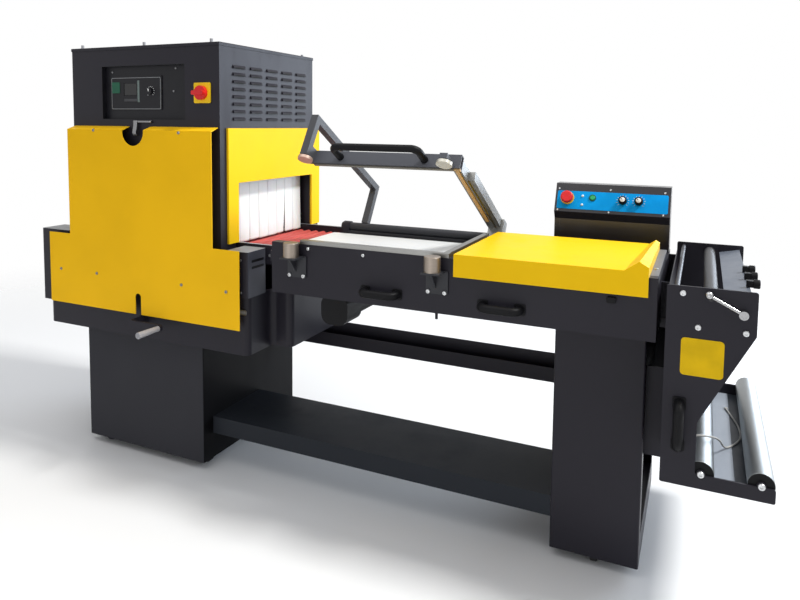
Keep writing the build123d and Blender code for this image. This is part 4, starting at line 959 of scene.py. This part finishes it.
setPlates(smallPlates)
print("plates set")

# lamps: a high key from the right, a broad sheen behind on the right, a soft lamp above, a weak front fill
lampAim = Vector((0, 0, 0.7))
lamps = {
    "key": {"place": (4.9, 0.4, 6.9), "size": (1.2, 1.2), "power": 550, "tint": (1.0, 1.0, 0.98)},
    "sheen": {"place": (3.4, 4.6, 1.8), "size": (3.4, 2.4), "power": 165, "tint": (0.86, 0.98, 1.14)},
    "top": {"place": (-0.6, -0.8, 4.6), "size": (3.6, 3.6), "power": 55, "tint": (1.0, 1.0, 1.0)},
    "front": {"place": (-0.6, -5.2, 0.7), "size": (3.0, 1.4), "power": 31, "tint": (1.0, 1.0, 1.0)},
}
for name, lamp in lamps.items():
    light = bpy.data.objects.new(name, bpy.data.lights.new(name, "AREA"))
    light.data.shape = "RECTANGLE"
    light.data.size, light.data.size_y = lamp["size"]
    light.data.energy = lamp["power"]
    light.data.color = lamp["tint"]
    light.location = lamp["place"]
    light.rotation_euler = (lampAim - Vector(lamp["place"])).to_track_quat("-Z", "Y").to_euler()
    bpy.context.scene.collection.objects.link(light)

# the surround: brighter to the right and above, white where the camera, a reflection or glass sees it
surround = {"level": 0.34, "right": 0.22, "above": 0.22, "tint": (0.98, 1.0, 1.04)}
world = bpy.data.worlds.new("surround")
bpy.context.scene.world = world
world.use_nodes = True
sky = world.node_tree
rays = sky.nodes.new("ShaderNodeLightPath").outputs
direct, mirrored = Sock(sky, rays["Is Camera Ray"]), Sock(sky, rays["Is Glossy Ray"])
seen = direct + mirrored + Sock(sky, rays["Is Transmission Ray"])
around = source(sky, "TexCoord", "Generated")
glow = surround["level"] + around.axis("X") * surround["right"] + around.axis("Z") * surround["above"]
skyTone = mixed(seen.clip(), mixed(glow.clip(), (0, 0, 0), surround["tint"]), (1, 1, 1))
sky.links.new(skyTone.out, sky.nodes["Background"].inputs["Color"])

# floor: a pale disc, rings by spokes, that fades into the surround, so it holds only the shadow
floorLook = {
    "radius": 7.0, "fadeFrom": 1.9, "fadeTo": 4.6, "rings": 24, "spokes": 96, "tone": (0.86, 0.86, 0.86),
    "rough": 0.6,
}
spin = np.linspace(0, 2 * np.pi, floorLook["spokes"], endpoint=False)
reach = np.linspace(0, floorLook["radius"], floorLook["rings"])[:, None]
ground = np.stack([reach * np.cos(spin), reach * np.sin(spin), 0 * reach * spin], -1)
cells = np.arange(floorLook["rings"] * floorLook["spokes"]).reshape(floorLook["rings"], floorLook["spokes"])
cells = np.concatenate([cells, cells[:, :1]], 1)
floorQuads = np.stack([cells[:-1, :-1], cells[1:, :-1], cells[1:, 1:], cells[:-1, 1:]], -1).reshape(-1, 4)
floorMesh = bpy.data.meshes.new("floor")
floorMesh.from_pydata(ground.reshape(-1, 3).tolist(), [], floorQuads.tolist())
floor = bpy.data.objects.new("floor", floorMesh)
bpy.context.scene.collection.objects.link(floor)
coords, facing, wear = finishOf("floorFinish")
floorFinish = wear(Base_Color=floorLook["tone"], Roughness=floorLook["rough"])
tree = floorFinish.node_tree
away = coords.node("VectorMath", {"operation": "LENGTH"}, {0: coords}, 1)
fade = away.step(floorLook["fadeFrom"], floorLook["fadeTo"])
solid = Sock(tree, tree.nodes["Principled BSDF"].outputs[0])
blend = coords.node("MixShader", None, {0: fade, 1: solid, 2: coords.node("BsdfTransparent")})
tree.links.new(blend.out, tree.nodes["Material Output"].inputs["Surface"])
floorMesh.materials.append(floorFinish)
print("light and floor set")

bpy.context.scene.view_settings.view_transform = "Standard"
